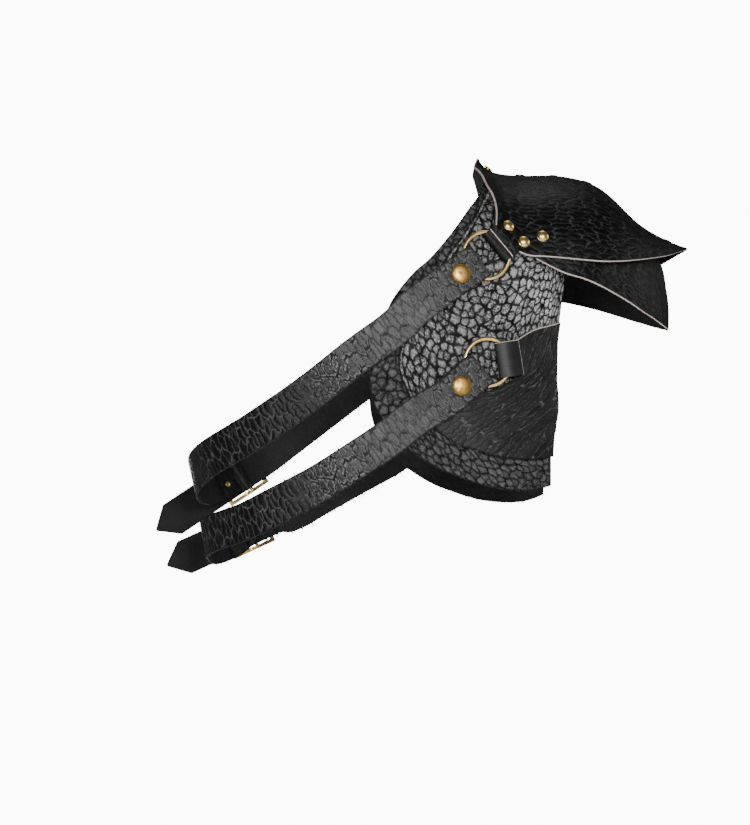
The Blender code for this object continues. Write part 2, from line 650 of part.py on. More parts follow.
def ring(name, frame, group):
    bpy.ops.mesh.primitive_torus_add(
        major_segments=18, minor_segments=6, major_radius=RING_RADIUS, minor_radius=RING_WIRE / 2,
        location=frame.centre, rotation=frame.normal.to_track_quat("Z", "Y").to_euler())
    part = bpy.context.object
    part.name = part.data.name = name
    for owner in part.users_collection:
        owner.objects.unlink(part)
    group.objects.link(part)
    part.data.materials.append(new_material(name, *BRASS))
    part.data.shade_smooth()
    return part


def turned(name, profile, closed, centre, axis, group, segments=10):
    """A turned piece whose profile runs down its outer side, on an axis through its seat."""
    mesh = bpy.data.meshes.new(name)
    points = [(radius, 0, height) for radius, height in profile]
    edges = [(k, k + 1) for k in range(len(points) - 1)]
    if closed:
        edges.append((len(points) - 1, 0))
    mesh.from_pydata(points, edges, [])
    part = link(mesh, name, group, BRASS)
    screw = part.modifiers.new("turn", "SCREW")
    screw.steps = screw.render_steps = segments
    screw.use_merge_vertices = True
    screw.merge_threshold = 0.00001
    part.location = centre
    part.rotation_euler = axis.to_track_quat("Z", "Y").to_euler()
    return part


def heights(parts, centre, axis, radius):
    """The highest and lowest face of the parts along an axis, within a radius."""
    side = axis.orthogonal().normalized()
    other = axis.cross(side)
    spots = [Vector((0, 0, 0))]
    if radius:
        for k in range(12):
            angle = math.pi * k / 6
            spots.append((side * math.cos(angle) + other * math.sin(angle)) * radius)
            spots.append((side * math.cos(angle) + other * math.sin(angle)) * radius / 2)
    start = 6 * PLATE_LEATHER
    found = []
    graph = bpy.context.evaluated_depsgraph_get()
    for part in parts:
        solid = part.evaluated_get(graph)
        for spot in spots:
            reached = 0.0
            while reached < 2 * start:
                origin = centre + spot + axis * (start - reached)
                hit, place, _, _ = solid.ray_cast(origin, -axis, distance=2 * start - reached)
                if not hit:
                    break
                found.append((place - centre - spot).dot(axis))
                reached = start - found[-1] + 0.00002
    return found


def cut(part, centre, axis, radius, cutters):
    """A hole through a part, with eight flats round a radius."""
    build = bmesh.new()
    corner = radius / math.cos(math.pi / 8)
    bmesh.ops.create_cone(build, cap_ends=True, segments=8, radius1=corner, radius2=corner,
                          depth=10 * PLATE_LEATHER)
    mesh = bpy.data.meshes.new(part.name + "_hole")
    build.to_mesh(mesh)
    build.free()
    cutter = bpy.data.objects.new(part.name + "_hole", mesh)
    cutters.objects.link(cutter)
    cutter.location = centre
    cutter.rotation_euler = axis.to_track_quat("Z", "Y").to_euler()
    cutter.hide_render = True
    cutter.display_type = "WIRE"
    hole = part.modifiers.new("hole", "BOOLEAN")
    hole.operation = "DIFFERENCE"
    hole.object = cutter


def rivet(name, centre, axis, parts, head, group):
    """A head and a tail on a post through the parts; head is diameter, height and shape."""
    diameter, height, shape = head
    radius = diameter / 2
    top = max(heights(parts, centre, axis, radius)) + METAL_GAP
    low = min(found for found in heights(parts, centre, axis, TAIL_DIAMETER / 2)) - METAL_GAP
    post, tail = POST_DIAMETER / 2, TAIL_DIAMETER / 2
    profile = [(radius * across, top + height * up) for across, up in shape]
    profile += [(post, top), (post, low), (tail, low), (tail, low - TAIL_HEIGHT), (0, low - TAIL_HEIGHT)]
    return turned(name, profile, False, centre, axis, group)


CAP_SHAPE = ((0, 1.0), (0.62, 0.92), (0.90, 0.62), (1.0, 0.30), (1.0, 0))
DOME_SHAPE = ((0, 1.0), (0.40, 0.90), (0.75, 0.62), (1.0, 0.14), (1.0, 0))
FLAT_SHAPE = ((0, 1.0), (0.90, 1.0), (1.0, 0.6), (1.0, 0))
CAP_HEAD = (CAP_DIAMETER, CAP_HEIGHT, CAP_SHAPE)
DOME_HEAD = (DOME_DIAMETER, DOME_HEIGHT, DOME_SHAPE)
FLAT_HEAD = (FLAT_HEAD_DIAMETER, FLAT_HEAD_HEIGHT, FLAT_SHAPE)


def eyelet(name, centre, axis, plate, group):
    """A rolled eyelet that grips the plate from both sides."""
    bore = EYELET_BORE / 2
    barrel = bore + EYELET_WALL
    flange = EYELET_DIAMETER / 2
    top = max(heights([plate], centre, axis, flange)) + METAL_GAP
    low = min(heights([plate], centre, axis, 0.8 * flange)) - METAL_GAP
    profile = [(bore, top + 0.6 * EYELET_FLANGE), (0.75 * flange, top + EYELET_FLANGE), (flange, top),
               (barrel, top), (barrel, low), (0.8 * flange, low), (0.8 * flange, low - EYELET_FLANGE),
               (bore, low - EYELET_FLANGE)]
    return turned(name, profile, True, centre, axis, group)


def buckle(name, frame, group, cutters):
    """A plain frame buckle whose bar lies lower than its frame."""
    rotation = Vector(frame.normal).to_track_quat("Z", "Y").to_matrix()
    rotation.col[0], rotation.col[1], rotation.col[2] = frame.along, frame.across, frame.normal
    matrix = rotation.to_4x4()
    matrix.translation = frame.centre
    frame_low = BAR_FOLD + 1.5 * STRAP_LEATHER + 2 * METAL_GAP
    frame_top = frame_low + BUCKLE_PLATE
    window_half = STRAP_WIDTH / 2 + BUCKLE_ROOM
    outer_half = window_half + BUCKLE_RAIL

    def box(label, size, middle):
        build = bmesh.new()
        bmesh.ops.create_cube(build, size=1.0)
        bmesh.ops.scale(build, verts=build.verts, vec=size)
        bmesh.ops.translate(build, verts=build.verts, vec=middle)
        mesh = bpy.data.meshes.new(label)
        build.to_mesh(mesh)
        build.free()
        mesh.transform(matrix)
        return mesh

    length = BUCKLE_WINDOW + 2 * BUCKLE_RAIL
    part = link(box(name, (length, 2 * outer_half, BUCKLE_PLATE), (0, 0, (frame_low + frame_top) / 2)),
                name, group, BRASS)
    tools = [(box(name + "_window", (BUCKLE_WINDOW, 2 * window_half, 5 * BUCKLE_RAIL), (0, 0, frame_low)), "DIFFERENCE")]
    cheek_low, cheek_top = -BUCKLE_BAR / 2 - 0.2 * BUCKLE_RAIL, frame_top - 0.2 * BUCKLE_PLATE
    for side in (-1, 1):
        size = (1.5 * BUCKLE_RAIL, 0.8 * BUCKLE_RAIL, cheek_top - cheek_low)
        middle = (0, side * (window_half + BUCKLE_RAIL / 2), (cheek_top + cheek_low) / 2)
        tools.append((box(name + "_cheek", size, middle), "UNION"))
    build = bmesh.new()
    bmesh.ops.create_cone(build, cap_ends=True, segments=10, radius1=BUCKLE_BAR / 2, radius2=BUCKLE_BAR / 2,
                          depth=2 * outer_half - BUCKLE_RAIL)
    bar = bpy.data.meshes.new(name + "_bar")
    build.to_mesh(bar)
    build.free()
    turn = Vector((0, 1, 0)).to_track_quat("Z", "Y").to_matrix().to_4x4()
    bar.transform(turn)
    bar.transform(matrix)
    tools.append((bar, "UNION"))
    for mesh, operation in tools:
        tool = bpy.data.objects.new(mesh.name, mesh)
        cutters.objects.link(tool)
        tool.hide_render = True
        tool.display_type = "WIRE"
        join = part.modifiers.new("join", "BOOLEAN")
        join.operation = operation
        join.object = tool
    return part


def build():
    for leftover in list(bpy.data.objects):
        bpy.data.objects.remove(leftover, do_unlink=True)
    scene = bpy.context.scene
    group = bpy.data.collections.new("leather_pauldron")
    cutters = bpy.data.collections.new("cutters")
    scene.collection.children.link(group)
    scene.collection.children.link(cutters)

    base = saddle(BASE_INNER, BASE_OUTER, BASE_HEM, BASE_STAND, 8)
    leather_sheet("base_plate", [base], PLATE_LEATHER, group)
    main = saddle(MAIN_INNER, MAIN_OUTER, MAIN_HEM, MAIN_STAND, 7)
    leather_sheet("main_plate", [main], PLATE_LEATHER, group)

    rings = {row.name: ring_frame(row) for row in RINGS}
    buckles = {row.name: buckle_frame(row) for row in BUCKLES}
    free_ends = {row.name: row.free_end for row in BUCKLES}
    panel = panel_grids(sloped(rings["lower"], TAB_SLOPES["lower"], 1))
    leather_sheet("lower_panel_back", panel, PLATE_LEATHER, group)
    leather_sheet("lower_panel_front", [[[mirrored(p) for p in row] for row in rows] for rows in panel],
                  PLATE_LEATHER, group)
    wing = top_plate_grids(sloped(rings["upper"], TAB_SLOPES["upper"], 1))
    top_plate = leather_sheet("top_plate", wing, PLATE_LEATHER, group)
    under_plate = leather_sheet("under_plate", under_plate_grids(), PLATE_LEATHER, group)

    holes = []
    for level in ("upper", "lower"):
        ring("ring_" + level + "_back", rings[level], group)
        ring("ring_" + level + "_front", mirrored_frame(rings[level]), group)
        leaving = sloped(rings[level], STRAP_SLOPES[level], -1)
        reach = CAP_REACHES[level]
        rows = back_strap(leaving, buckles[level], BACK_ROUTES[level])
        back = leather_sheet("strap_" + level + "_back", [rows], STRAP_LEATHER, group)
        rows = front_strap(mirrored_frame(leaving), buckles[level], FRONT_ROUTES[level], free_ends[level])
        front = leather_sheet("strap_" + level + "_front", [rows], STRAP_LEATHER, group)
        buckle("buckle_" + level, buckles[level], group, cutters)
        bpy.context.view_layer.update()
        for side, strap, frame in (("back", back, leaving), ("front", front, mirrored_frame(leaving))):
            centre = in_frame(frame, reach, 0, 0)
            rivet("cap_rivet_" + level + "_" + side, centre, frame.normal, [strap], CAP_HEAD, group)
            holes.append((strap, centre, frame.normal, POST_DIAMETER / 2 + METAL_GAP))
        spot = in_frame(buckles[level], 0.7 * BUCKLE_FOLD_BACK, 0, 0)
        axis = body_normal(spot)
        rivet("buckle_rivet_" + level, spot, axis, [back], FLAT_HEAD, group)
        holes.append((back, spot, axis, POST_DIAMETER / 2 + METAL_GAP))

    bpy.context.view_layer.update()
    for row in DOMES:
        seat, lean = sheet_spot(wing[0], row)
        parts = [top_plate, under_plate] if row.name == "outer" else [top_plate]
        for word, centre, axis in (("back", seat, lean), ("front", mirrored(seat), mirrored(lean))):
            rivet("dome_" + row.name + "_" + word, centre, axis, parts, DOME_HEAD, group)
            holes += [(part, centre, axis, POST_DIAMETER / 2 + METAL_GAP) for part in parts]
    for number, row in enumerate(EYELETS):
        centre, axis = sheet_spot(wing[0], row)
        eyelet("eyelet_%d" % (number + 1), centre, axis, top_plate, group)
        holes.append((top_plate, centre, axis, EYELET_BORE / 2 + EYELET_WALL + METAL_GAP))
    for part, centre, axis, radius in holes:
        cut(part, centre, axis, radius, cutters)


build()
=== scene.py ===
"""Studio scene of a leather pauldron: grained plates, frayed straps and brass hardware."""
import json
import math
import random
from collections import namedtuple

import bmesh
import bpy
import numpy as np
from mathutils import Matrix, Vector
from mathutils.kdtree import KDTree

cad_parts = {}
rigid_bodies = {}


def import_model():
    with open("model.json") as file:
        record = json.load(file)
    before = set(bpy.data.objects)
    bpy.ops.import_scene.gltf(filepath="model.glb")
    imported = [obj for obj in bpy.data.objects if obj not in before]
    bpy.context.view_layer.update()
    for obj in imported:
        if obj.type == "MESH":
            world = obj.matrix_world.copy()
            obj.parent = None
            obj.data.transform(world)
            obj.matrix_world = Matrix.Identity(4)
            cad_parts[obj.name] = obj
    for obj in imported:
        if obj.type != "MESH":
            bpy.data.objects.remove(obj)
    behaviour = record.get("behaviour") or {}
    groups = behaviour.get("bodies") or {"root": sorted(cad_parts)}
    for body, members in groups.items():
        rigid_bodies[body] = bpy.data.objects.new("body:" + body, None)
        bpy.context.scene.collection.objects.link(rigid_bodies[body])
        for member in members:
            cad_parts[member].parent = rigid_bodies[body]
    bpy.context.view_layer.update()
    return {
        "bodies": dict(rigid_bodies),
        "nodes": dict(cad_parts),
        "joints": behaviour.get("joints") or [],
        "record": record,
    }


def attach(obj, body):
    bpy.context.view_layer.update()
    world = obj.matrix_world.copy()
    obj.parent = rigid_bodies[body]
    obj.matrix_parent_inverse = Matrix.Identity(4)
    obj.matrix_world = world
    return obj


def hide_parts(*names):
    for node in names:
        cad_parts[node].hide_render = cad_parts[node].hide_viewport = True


# The body form that the leather follows
SHOULDER_HALF_WIDTH = 0.211
CHEST_HALF_DEPTH = 0.115
SHOULDER_ARCH = 0.080
ORIGIN_SHARE = 0.7763
SQUARENESS = 2.6
BODY_CLEARANCE = 0.001

# Leather
PLATE_LEATHER = 0.0020
STRAP_LEATHER = 0.0025
LAYER_GAP = 0.0010
FOLD_GAP = 0.0004
SADDLE_DROP = 0.313
WING_REACH = 0.171
WING_RISE = 0.048
WING_FALL = 0.079
WING_DEPTH = 0.116
UNDER_FALL = 0.136

# Straps and tabs
STRAP_WIDTH = 0.038
TAB_WIDTH = 0.036
FOLD_SLACK = 0.002
FOLD_BACK = 0.048
BUCKLE_FOLD_BACK = 0.038
UPPER_FREE_END = 0.115
LOWER_FREE_END = 0.102
POINT_LENGTH = 0.022
WING_TAB_ROOT = 0.028
PANEL_TAB_ROOT = 0.034

# Rings, rivets, eyelets and buckles
RING_ROOM = 0.005
RING_WIRE = 0.0040
METAL_GAP = 0.0003
CAP_DIAMETER = 0.0205
CAP_HEIGHT = 0.0034
UPPER_CAP_REACH = 0.0350
LOWER_CAP_REACH = 0.0385
DOME_DIAMETER = 0.0122
DOME_HEIGHT = 0.0042
FLAT_HEAD_DIAMETER = 0.0090
FLAT_HEAD_HEIGHT = 0.0014
POST_DIAMETER = 0.0034
TAIL_DIAMETER = 0.0060
TAIL_HEIGHT = 0.0009
EYELET_DIAMETER = 0.0105
EYELET_BORE = 0.0052
EYELET_WALL = 0.0005
EYELET_FLANGE = 0.0008
BUCKLE_BAR = 0.0036
BUCKLE_RAIL = 0.0040
BUCKLE_WINDOW = 0.044
BAR_STAND = 0.0068

MIDDLE_X = -ORIGIN_SHARE * SHOULDER_HALF_WIDTH
RING_RADIUS = STRAP_WIDTH / 2 + RING_ROOM
STRAP_FOLD = RING_WIRE / 2 + METAL_GAP + STRAP_LEATHER / 2
TAB_FOLD = RING_WIRE / 2 + METAL_GAP + PLATE_LEATHER / 2
BAR_FOLD = BUCKLE_BAR / 2 + METAL_GAP + STRAP_LEATHER / 2
PAST_WIRE = RING_RADIUS + RING_WIRE / 2 + 2 * METAL_GAP
BASE_STAND = BODY_CLEARANCE + PLATE_LEATHER / 2
MAIN_STAND = BASE_STAND + PLATE_LEATHER + LAYER_GAP
PANEL_STAND = MAIN_STAND + PLATE_LEATHER + LAYER_GAP
WIRE_STAND = PLATE_LEATHER / 2 + FOLD_GAP + STRAP_LEATHER / 2 + STRAP_FOLD
UPPER_RING_STAND = MAIN_STAND + WIRE_STAND
LOWER_RING_STAND = PANEL_STAND + WIRE_STAND
TAIL_ROOM = TAIL_HEIGHT + 2 * METAL_GAP
TAB_STAND = MAIN_STAND + 2 * (PLATE_LEATHER + LAYER_GAP) + TAIL_ROOM

BACK = -1
FRONT = 1
OUTWARD = Vector((1, 0, 0))
FORWARD = Vector((0, 1, 0))
UP = Vector((0, 0, 1))
TAB_COLUMNS = 4
CREST_SHARE = 0.965

Frame = namedtuple("Frame", "centre along across normal")
Stands = namedtuple("Stands", "inner outer hem")


def table(columns, *rows):
    """Rows whose columns have names."""
    row_type = namedtuple("Row", columns)
    return [row_type(*row) for row in rows]


# The form: down is a share of SADDLE_DROP, across, height and width of SHOULDER_HALF_WIDTH,
# depth of CHEST_HALF_DEPTH
SHOULDER_LINE = table(
    "across height", (0.16, 0.40), (0.31, 0.265), (0.51, 0.126), (0.57, 0.088), (0.68, 0.040), (0.78, 0.005),
    (0.85, -0.02), (0.97, -0.06), (1.06, -0.095))
GUARDED_SIDE = table(
    "down width", (-0.20, 0.97), (0.0, 1.0), (0.16, 1.01), (0.43, 1.005), (0.67, 0.99), (0.97, 0.972),
    (1.34, 0.948))
FAR_SIDE = table(
    "down width", (0.0, 1.0), (0.43, 0.99), (0.67, 0.945), (0.83, 0.91), (0.97, 0.862), (1.20, 0.80),
    (1.34, 0.768))
CHEST = table("down depth", (-0.2, 1.0), (0.0, 1.0), (0.64, 1.0), (0.96, 0.94), (1.34, 0.87))

# Outlines of the sheets on the form: across from the middle is a share of SHOULDER_HALF_WIDTH, and down
# a share of SADDLE_DROP. An inner or outer edge starts on the crest of the shoulder.
BASE_INNER = table(
    "across down", (0.57, -0.10), (0.53, 0.015), (0.46, 0.093), (0.36, 0.188), (0.27, 0.258), (0.11, 0.378),
    (0.05, 0.46), (0.0, 0.60), (0.0, 0.68), (0.05, 0.77), (0.175, 0.87))
BASE_HEM = table(
    "across down", (0.175, 0.87), (0.36, 0.943), (0.50, 0.977), (0.64, 0.996), (0.74, 1.0), (0.81, 0.992),
    (0.87, 0.977))
BASE_OUTER = table(
    "across down", (0.93, -0.10), (0.93, 0.15), (0.90, 0.35), (0.88, 0.62), (0.87, 0.89), (0.87, 0.977))
MAIN_INNER = table(
    "across down", (0.60, -0.10), (0.56, 0.012), (0.535, 0.052), (0.47, 0.14), (0.38, 0.23), (0.24, 0.36),
    (0.165, 0.48), (0.135, 0.58), (0.15, 0.66), (0.20, 0.73))
MAIN_HEM = table("across down", (0.20, 0.73), (0.33, 0.80), (0.52, 0.84), (0.70, 0.84), (0.885, 0.80))
MAIN_OUTER = table(
    "across down", (0.955, -0.10), (0.953, 0.15), (0.938, 0.236), (0.926, 0.33), (0.90, 0.45), (0.892, 0.62),
    (0.885, 0.80))
PANEL_TOP = table("across down", (0.679, 0.492), (0.789, 0.467), (0.898, 0.44))
PANEL_ROOT = table("across down", (0.679, 0.492), (0.698, 0.612))
PANEL_HIDDEN = table(
    "across down", (0.698, 0.612), (0.615, 0.658), (0.468, 0.70), (0.35, 0.75), (0.305, 0.803))
PANEL_OUTER = table(
    "across down", (0.898, 0.44), (0.886, 0.503), (0.879, 0.566), (0.879, 0.632), (0.888, 0.715),
    (0.868, 0.812), (0.861, 0.883))
PANEL_HEM = table(
    "across down", (0.305, 0.803), (0.40, 0.85), (0.52, 0.876), (0.67, 0.897), (0.775, 0.897), (0.861, 0.883))

# The wing plates: reach is a share of WING_REACH, rise of WING_RISE, fall of WING_FALL or UNDER_FALL,
# and depth of WING_DEPTH
TOP_RIDGE = table(
    "reach rise", (-0.294, 1.0), (-0.236, 0.74), (-0.154, 0.63), (-0.03, 0.583), (0.125, 0.583), (0.22, 0.56),
    (0.31, 0.494), (0.375, 0.425), (0.45, 0.29), (0.51, 0.11), (0.565, -0.09), (0.62, -0.315), (0.71, -0.583),
    (0.805, -0.763), (0.90, -0.92), (1.0, -1.03))
TOP_HEM = table(
    "reach depth fall", (-0.071, 0.947, 0.923), (0.058, 0.914, 0.94), (0.182, 0.88, 0.953),
    (0.305, 0.846, 0.971), (0.43, 0.792, 0.98), (0.558, 0.679, 0.952), (0.692, 0.518, 0.89),
    (0.83, 0.321, 0.806), (0.902, 0.196, 0.744), (0.965, 0.095, 0.675), (1.0, 0.036, 0.642))
TOP_INNER = table(
    "reach depth fall", (-0.294, 0.0, -0.607), (-0.312, 0.07, -0.54), (-0.322, 0.172, -0.44),
    (-0.316, 0.328, -0.311), (-0.295, 0.491, -0.18), (-0.265, 0.638, -0.072), (-0.24, 0.733, 0.011),
    (-0.225, 0.802, 0.097), (-0.209, 0.853, 0.187), (-0.206, 0.905, 0.276), (-0.209, 0.94, 0.37),
    (-0.22, 0.961, 0.45))
UNDER_RIDGE = table(
    "reach fall", (0.047, -0.158), (0.216, -0.15), (0.374, -0.103), (0.51, 0.007), (0.62, 0.154),
    (0.73, 0.29), (0.80, 0.382), (0.84, 0.47), (0.86, 0.603), (0.876, 0.743), (0.886, 0.882), (0.88, 0.985))
UNDER_HEM = table(
    "reach depth fall", (0.037, 0.872, 0.562), (0.198, 0.846, 0.662), (0.344, 0.795, 0.711),
    (0.471, 0.66, 0.768), (0.601, 0.509, 0.838), (0.69, 0.375, 0.892), (0.79, 0.223, 0.949),
    (0.854, 0.098, 0.989), (0.878, 0.036, 1.0))

# Where the hardware sits: across and down as for the outlines, along as a share of the wing's length
# and round as a share of the way from its back hem to its front hem
RINGS = table("name across down stand", ("upper", 0.547, 0.239, UPPER_RING_STAND),
              ("lower", 0.548, 0.589, LOWER_RING_STAND))
DOMES = table("name along round", ("inner", 0.116, 0.05), ("middle", 0.237, 0.039), ("outer", 0.313, 0.068))
EYELETS = table("along round", (0.095, 0.5), (0.271, 0.5), (0.40, 0.5), (0.529, 0.461), (0.676, 0.5),
                (0.808, 0.5), (0.918, 0.5))

# Straps: turn runs in degrees round the body from the middle of the back past the far side to the
# front, down is a share of SADDLE_DROP, and lift, clear of the plates beneath, of STRAP_WIDTH
ROUTE = "turn down plates lift"
BACK_ROUTES = {
    "upper": table(ROUTE, (-7.5, 0.415, 2, 0.11), (-3.4, 0.48, 2, 0.07), (1.3, 0.562, 2, 0.03),
                   (13.3, 0.694, 1, 0.04), (31.8, 0.808, 0.5, 0.03), (60.8, 0.896, 0, 0.03),
                   (90, 0.938, 0, 0.03), (110, 0.955, 0, 0.05), (124, 0.935, 0, 0.10)),
    "lower": table(ROUTE, (-7.9, 0.767, 3, 0.09), (-2.9, 0.829, 2.5, 0.06), (1.5, 0.898, 2, 0.03),
                   (11.6, 0.982, 1, 0.04), (28.8, 1.06, 0.5, 0.03), (40.5, 1.097, 0, 0.03),
                   (69.6, 1.134, 0, 0.03), (90, 1.153, 0, 0.03), (110, 1.158, 0, 0.05),
                   (124, 1.136, 0, 0.10)),
}
FRONT_ROUTES = {
    "upper": table(ROUTE, (187.5, 0.43, 2, 0.11), (183.4, 0.50, 2, 0.07), (178.7, 0.575, 2, 0.03),
                   (168, 0.695, 1, 0.06), (157, 0.785, 0.5, 0.12)),
    "lower": table(ROUTE, (187.9, 0.775, 3, 0.09), (183, 0.835, 2.5, 0.06), (178, 0.90, 2, 0.03),
                   (168, 0.975, 1, 0.06), (157, 1.035, 0.5, 0.12)),
}
BUCKLES = table("name turn down slope free_end", ("upper", 138.0, 0.895, 33.0, UPPER_FREE_END),
                ("lower", 138.0, 1.085, 24.0, LOWER_FREE_END))
CAP_REACHES = {"upper": UPPER_CAP_REACH, "lower": LOWER_CAP_REACH}
STRAP_SLOPES = {"upper": -36.0, "lower": -41.0}
TAB_SLOPES = {"upper": 41.0, "lower": 9.5}


def power(value, exponent):
    """A power that keeps its sign."""
    return math.copysign(abs(value) ** exponent, value)


def facing(vector, way):
    """The vector or its opposite, whichever points along a way."""
    return vector if vector.dot(way) >= 0 else -vector


def hermite(t):
    """The weights at t of a first value and slope, and of a second value and slope."""
    return 2 * t**3 - 3 * t**2 + 1, t**3 - 2 * t**2 + t, 3 * t**2 - 2 * t**3, t**3 - t**2


def smooth(knots, values, at):
    """The cubic curve through numbers or vectors at their knots."""
    at = min(max(at, knots[0]), knots[-1])
    last = len(knots) - 1
    first = next(k for k in range(last) if at <= knots[k + 1])
    slopes = []
    for knot in (first, first + 1):
        before, after = max(knot - 1, 0), min(knot + 1, last)
        slopes.append((values[after] - values[before]) / (knots[after] - knots[before]))
    span = knots[first + 1] - knots[first]
    start, leave, end, reach = hermite((at - knots[first]) / span)
    return (values[first] * start + slopes[0] * (span * leave)
            + values[first + 1] * end + slopes[1] * (span * reach))


def curve(points):
    """A function of the share of the way along a smooth curve through the points."""
    lengths = [0.0]
    for start, end in zip(points, points[1:]):
        lengths.append(lengths[-1] + (end - start).length)
    knots = [length / lengths[-1] for length in lengths]
    return lambda share: smooth(knots, points, share)


def look_up(rows, at):
    """The second column of a table at a value of its first."""
    return smooth([row[0] for row in rows], [row[1] for row in rows], at)


def shoulder_height(across):
    return look_up(SHOULDER_LINE, across / SHOULDER_HALF_WIDTH) * SHOULDER_HALF_WIDTH


def half_width(across, height):
    side = GUARDED_SIDE if across >= 0 else FAR_SIDE
    return look_up(side, -height / SADDLE_DROP) * SHOULDER_HALF_WIDTH


def half_depth(height):
    return look_up(CHEST, -height / SADDLE_DROP) * CHEST_HALF_DEPTH


def locate(row):
    """A row's place on the form: the way round from the middle, and the way down from the crest."""
    across = row.across * SHOULDER_HALF_WIDTH
    height = -row.down * SADDLE_DROP
    turn = math.asin(power(across / half_width(across, height), SQUARENESS / 2))
    drop = max(shoulder_height(across) - height, 0.0)
    if drop < SHOULDER_ARCH:
        travel = SHOULDER_ARCH * math.acos(1 - drop / SHOULDER_ARCH)
    else:
        travel = drop + SHOULDER_ARCH * (math.pi / 2 - 1)
    return Vector((turn * SHOULDER_HALF_WIDTH, travel))


def form_point(lateral, travel):
    """The point of the form at a way round and a signed way down, negative on the back."""
    share = power(math.sin(lateral / SHOULDER_HALF_WIDTH), 2 / SQUARENESS)
    way = abs(travel)
    if way < SHOULDER_ARCH * math.pi / 2:
        drop = SHOULDER_ARCH * (1 - math.cos(way / SHOULDER_ARCH))
        arch = math.sin(way / SHOULDER_ARCH)
    else:
        drop = way - SHOULDER_ARCH * (math.pi / 2 - 1)
        arch = 1.0
    height = -drop
    for _ in range(4):
        across = half_width(share, height) * share
        height = shoulder_height(across) - drop
    depth = half_depth(height) * (1 - abs(share) ** SQUARENESS) ** (1 / SQUARENESS) * arch
    return Vector((MIDDLE_X + across, math.copysign(depth, travel), height))


def form_normal(lateral, travel):
    step = 0.0005
    round_way = form_point(lateral + step, travel) - form_point(lateral - step, travel)
    down_way = form_point(lateral, travel + step) - form_point(lateral, travel - step)
    return round_way.cross(down_way).normalized()


def on_form(lateral, travel, stand):
    return form_point(lateral, travel) + form_normal(lateral, travel) * stand


def raised(point, least):
    """The point, moved out where it stands less than least over the form."""
    across = point.x - MIDDLE_X
    share = min(across / half_width(across, point.z), CREST_SHARE)
    lateral = math.asin(power(share, SQUARENESS / 2)) * SHOULDER_HALF_WIDTH
    ways = [math.copysign(0.05 * SHOULDER_ARCH * k, point.y) for k in range(50)]
    way = min(ways, key=lambda choice: (point - form_point(lateral, choice)).length)
    normal = form_normal(lateral, way)
    stand = (point - form_point(lateral, way)).dot(normal)
    return point + normal * max(least - stand, 0)


def girth(point):
    """How far out a point lies from the body's upright axis, where 1 is on the form."""
    across = point.x - MIDDLE_X
    return (abs(across / half_width(across, point.z))**SQUARENESS
            + abs(point.y / half_depth(point.z))**SQUARENESS)**(1 / SQUARENESS)


def body_normal(point):
    """The normal of the body's wall beside a point."""
    step = 0.001
    return Vector([girth(point + step * axis) - girth(point - step * axis)
                   for axis in (OUTWARD, FORWARD, UP)]).normalized()


def body_point(turn, down, stand):
    """A point round the body at a turn in degrees from the middle of the back."""
    height = -down * SADDLE_DROP
    sine = -math.sin(math.radians(turn))
    cosine = -math.cos(math.radians(turn))
    point = Vector((MIDDLE_X + half_width(sine, height) * power(sine, 2 / SQUARENESS),
                    half_depth(height) * power(cosine, 2 / SQUARENESS), height))
    return point + body_normal(point) * stand


def route_point(row):
    plates = BODY_CLEARANCE + row.plates * (PLATE_LEATHER + LAYER_GAP)
    return body_point(row.turn, row.down, plates + STRAP_LEATHER / 2 + row.lift * STRAP_WIDTH)


def in_frame(frame, along, across, out):
    return frame.centre + frame.along * along + frame.across * across + frame.normal * out


def tab_row(tab, along, out):
    """A row of points across a tab."""
    return [in_frame(tab, along, TAB_WIDTH * (0.5 - k / TAB_COLUMNS), out) for k in range(TAB_COLUMNS + 1)]


def mirrored(point):
    return Vector((point.x, -point.y, point.z))


def mirrored_frame(frame):
    return Frame(*(mirrored(vector) for vector in frame))


def ring_frame(row):
    """The frame of a back ring: along points to the guarded side, and across points up."""
    spot = locate(row)
    lateral, travel = spot.x, -spot.y
    normal = form_normal(lateral, travel)
    along = facing(UP.cross(normal).normalized(), OUTWARD)
    return Frame(on_form(lateral, travel, row.stand), along, facing(normal.cross(along), UP), normal)


def sloped(frame, degrees, toward):
    """A frame along a strap or tab that leaves the ring toward -1 or +1 at a slope."""
    slope = math.radians(degrees)
    along = (frame.along * toward * math.cos(slope) + frame.across * math.sin(slope)).normalized()
    return Frame(frame.centre, along, frame.normal.cross(along) * toward, frame.normal)


def buckle_frame(row):
    """The frame of a buckle's bar: along follows the free end of the strap."""
    centre = body_point(row.turn, row.down, BAR_STAND)
    normal = body_normal(centre)
    level = facing(UP.cross(normal), -OUTWARD)
    slope = math.radians(row.slope)
    along = level * math.cos(slope) + Vector((0, 0, -math.sin(slope)))
    return Frame(centre, along, normal.cross(along), normal)


def pocket(width):
    """How far from the ring's middle a fold of this width turns over."""
    return math.sqrt(RING_RADIUS**2 - (width / 2)**2) - FOLD_SLACK


def fold_round(reach, radius, steps=5):
    """Places along and out of a half turn, from the outer side to the inner side."""
    angles = [math.pi * step / steps for step in range(steps + 1)]
    return [(reach - radius * math.sin(angle), radius * math.cos(angle)) for angle in angles]


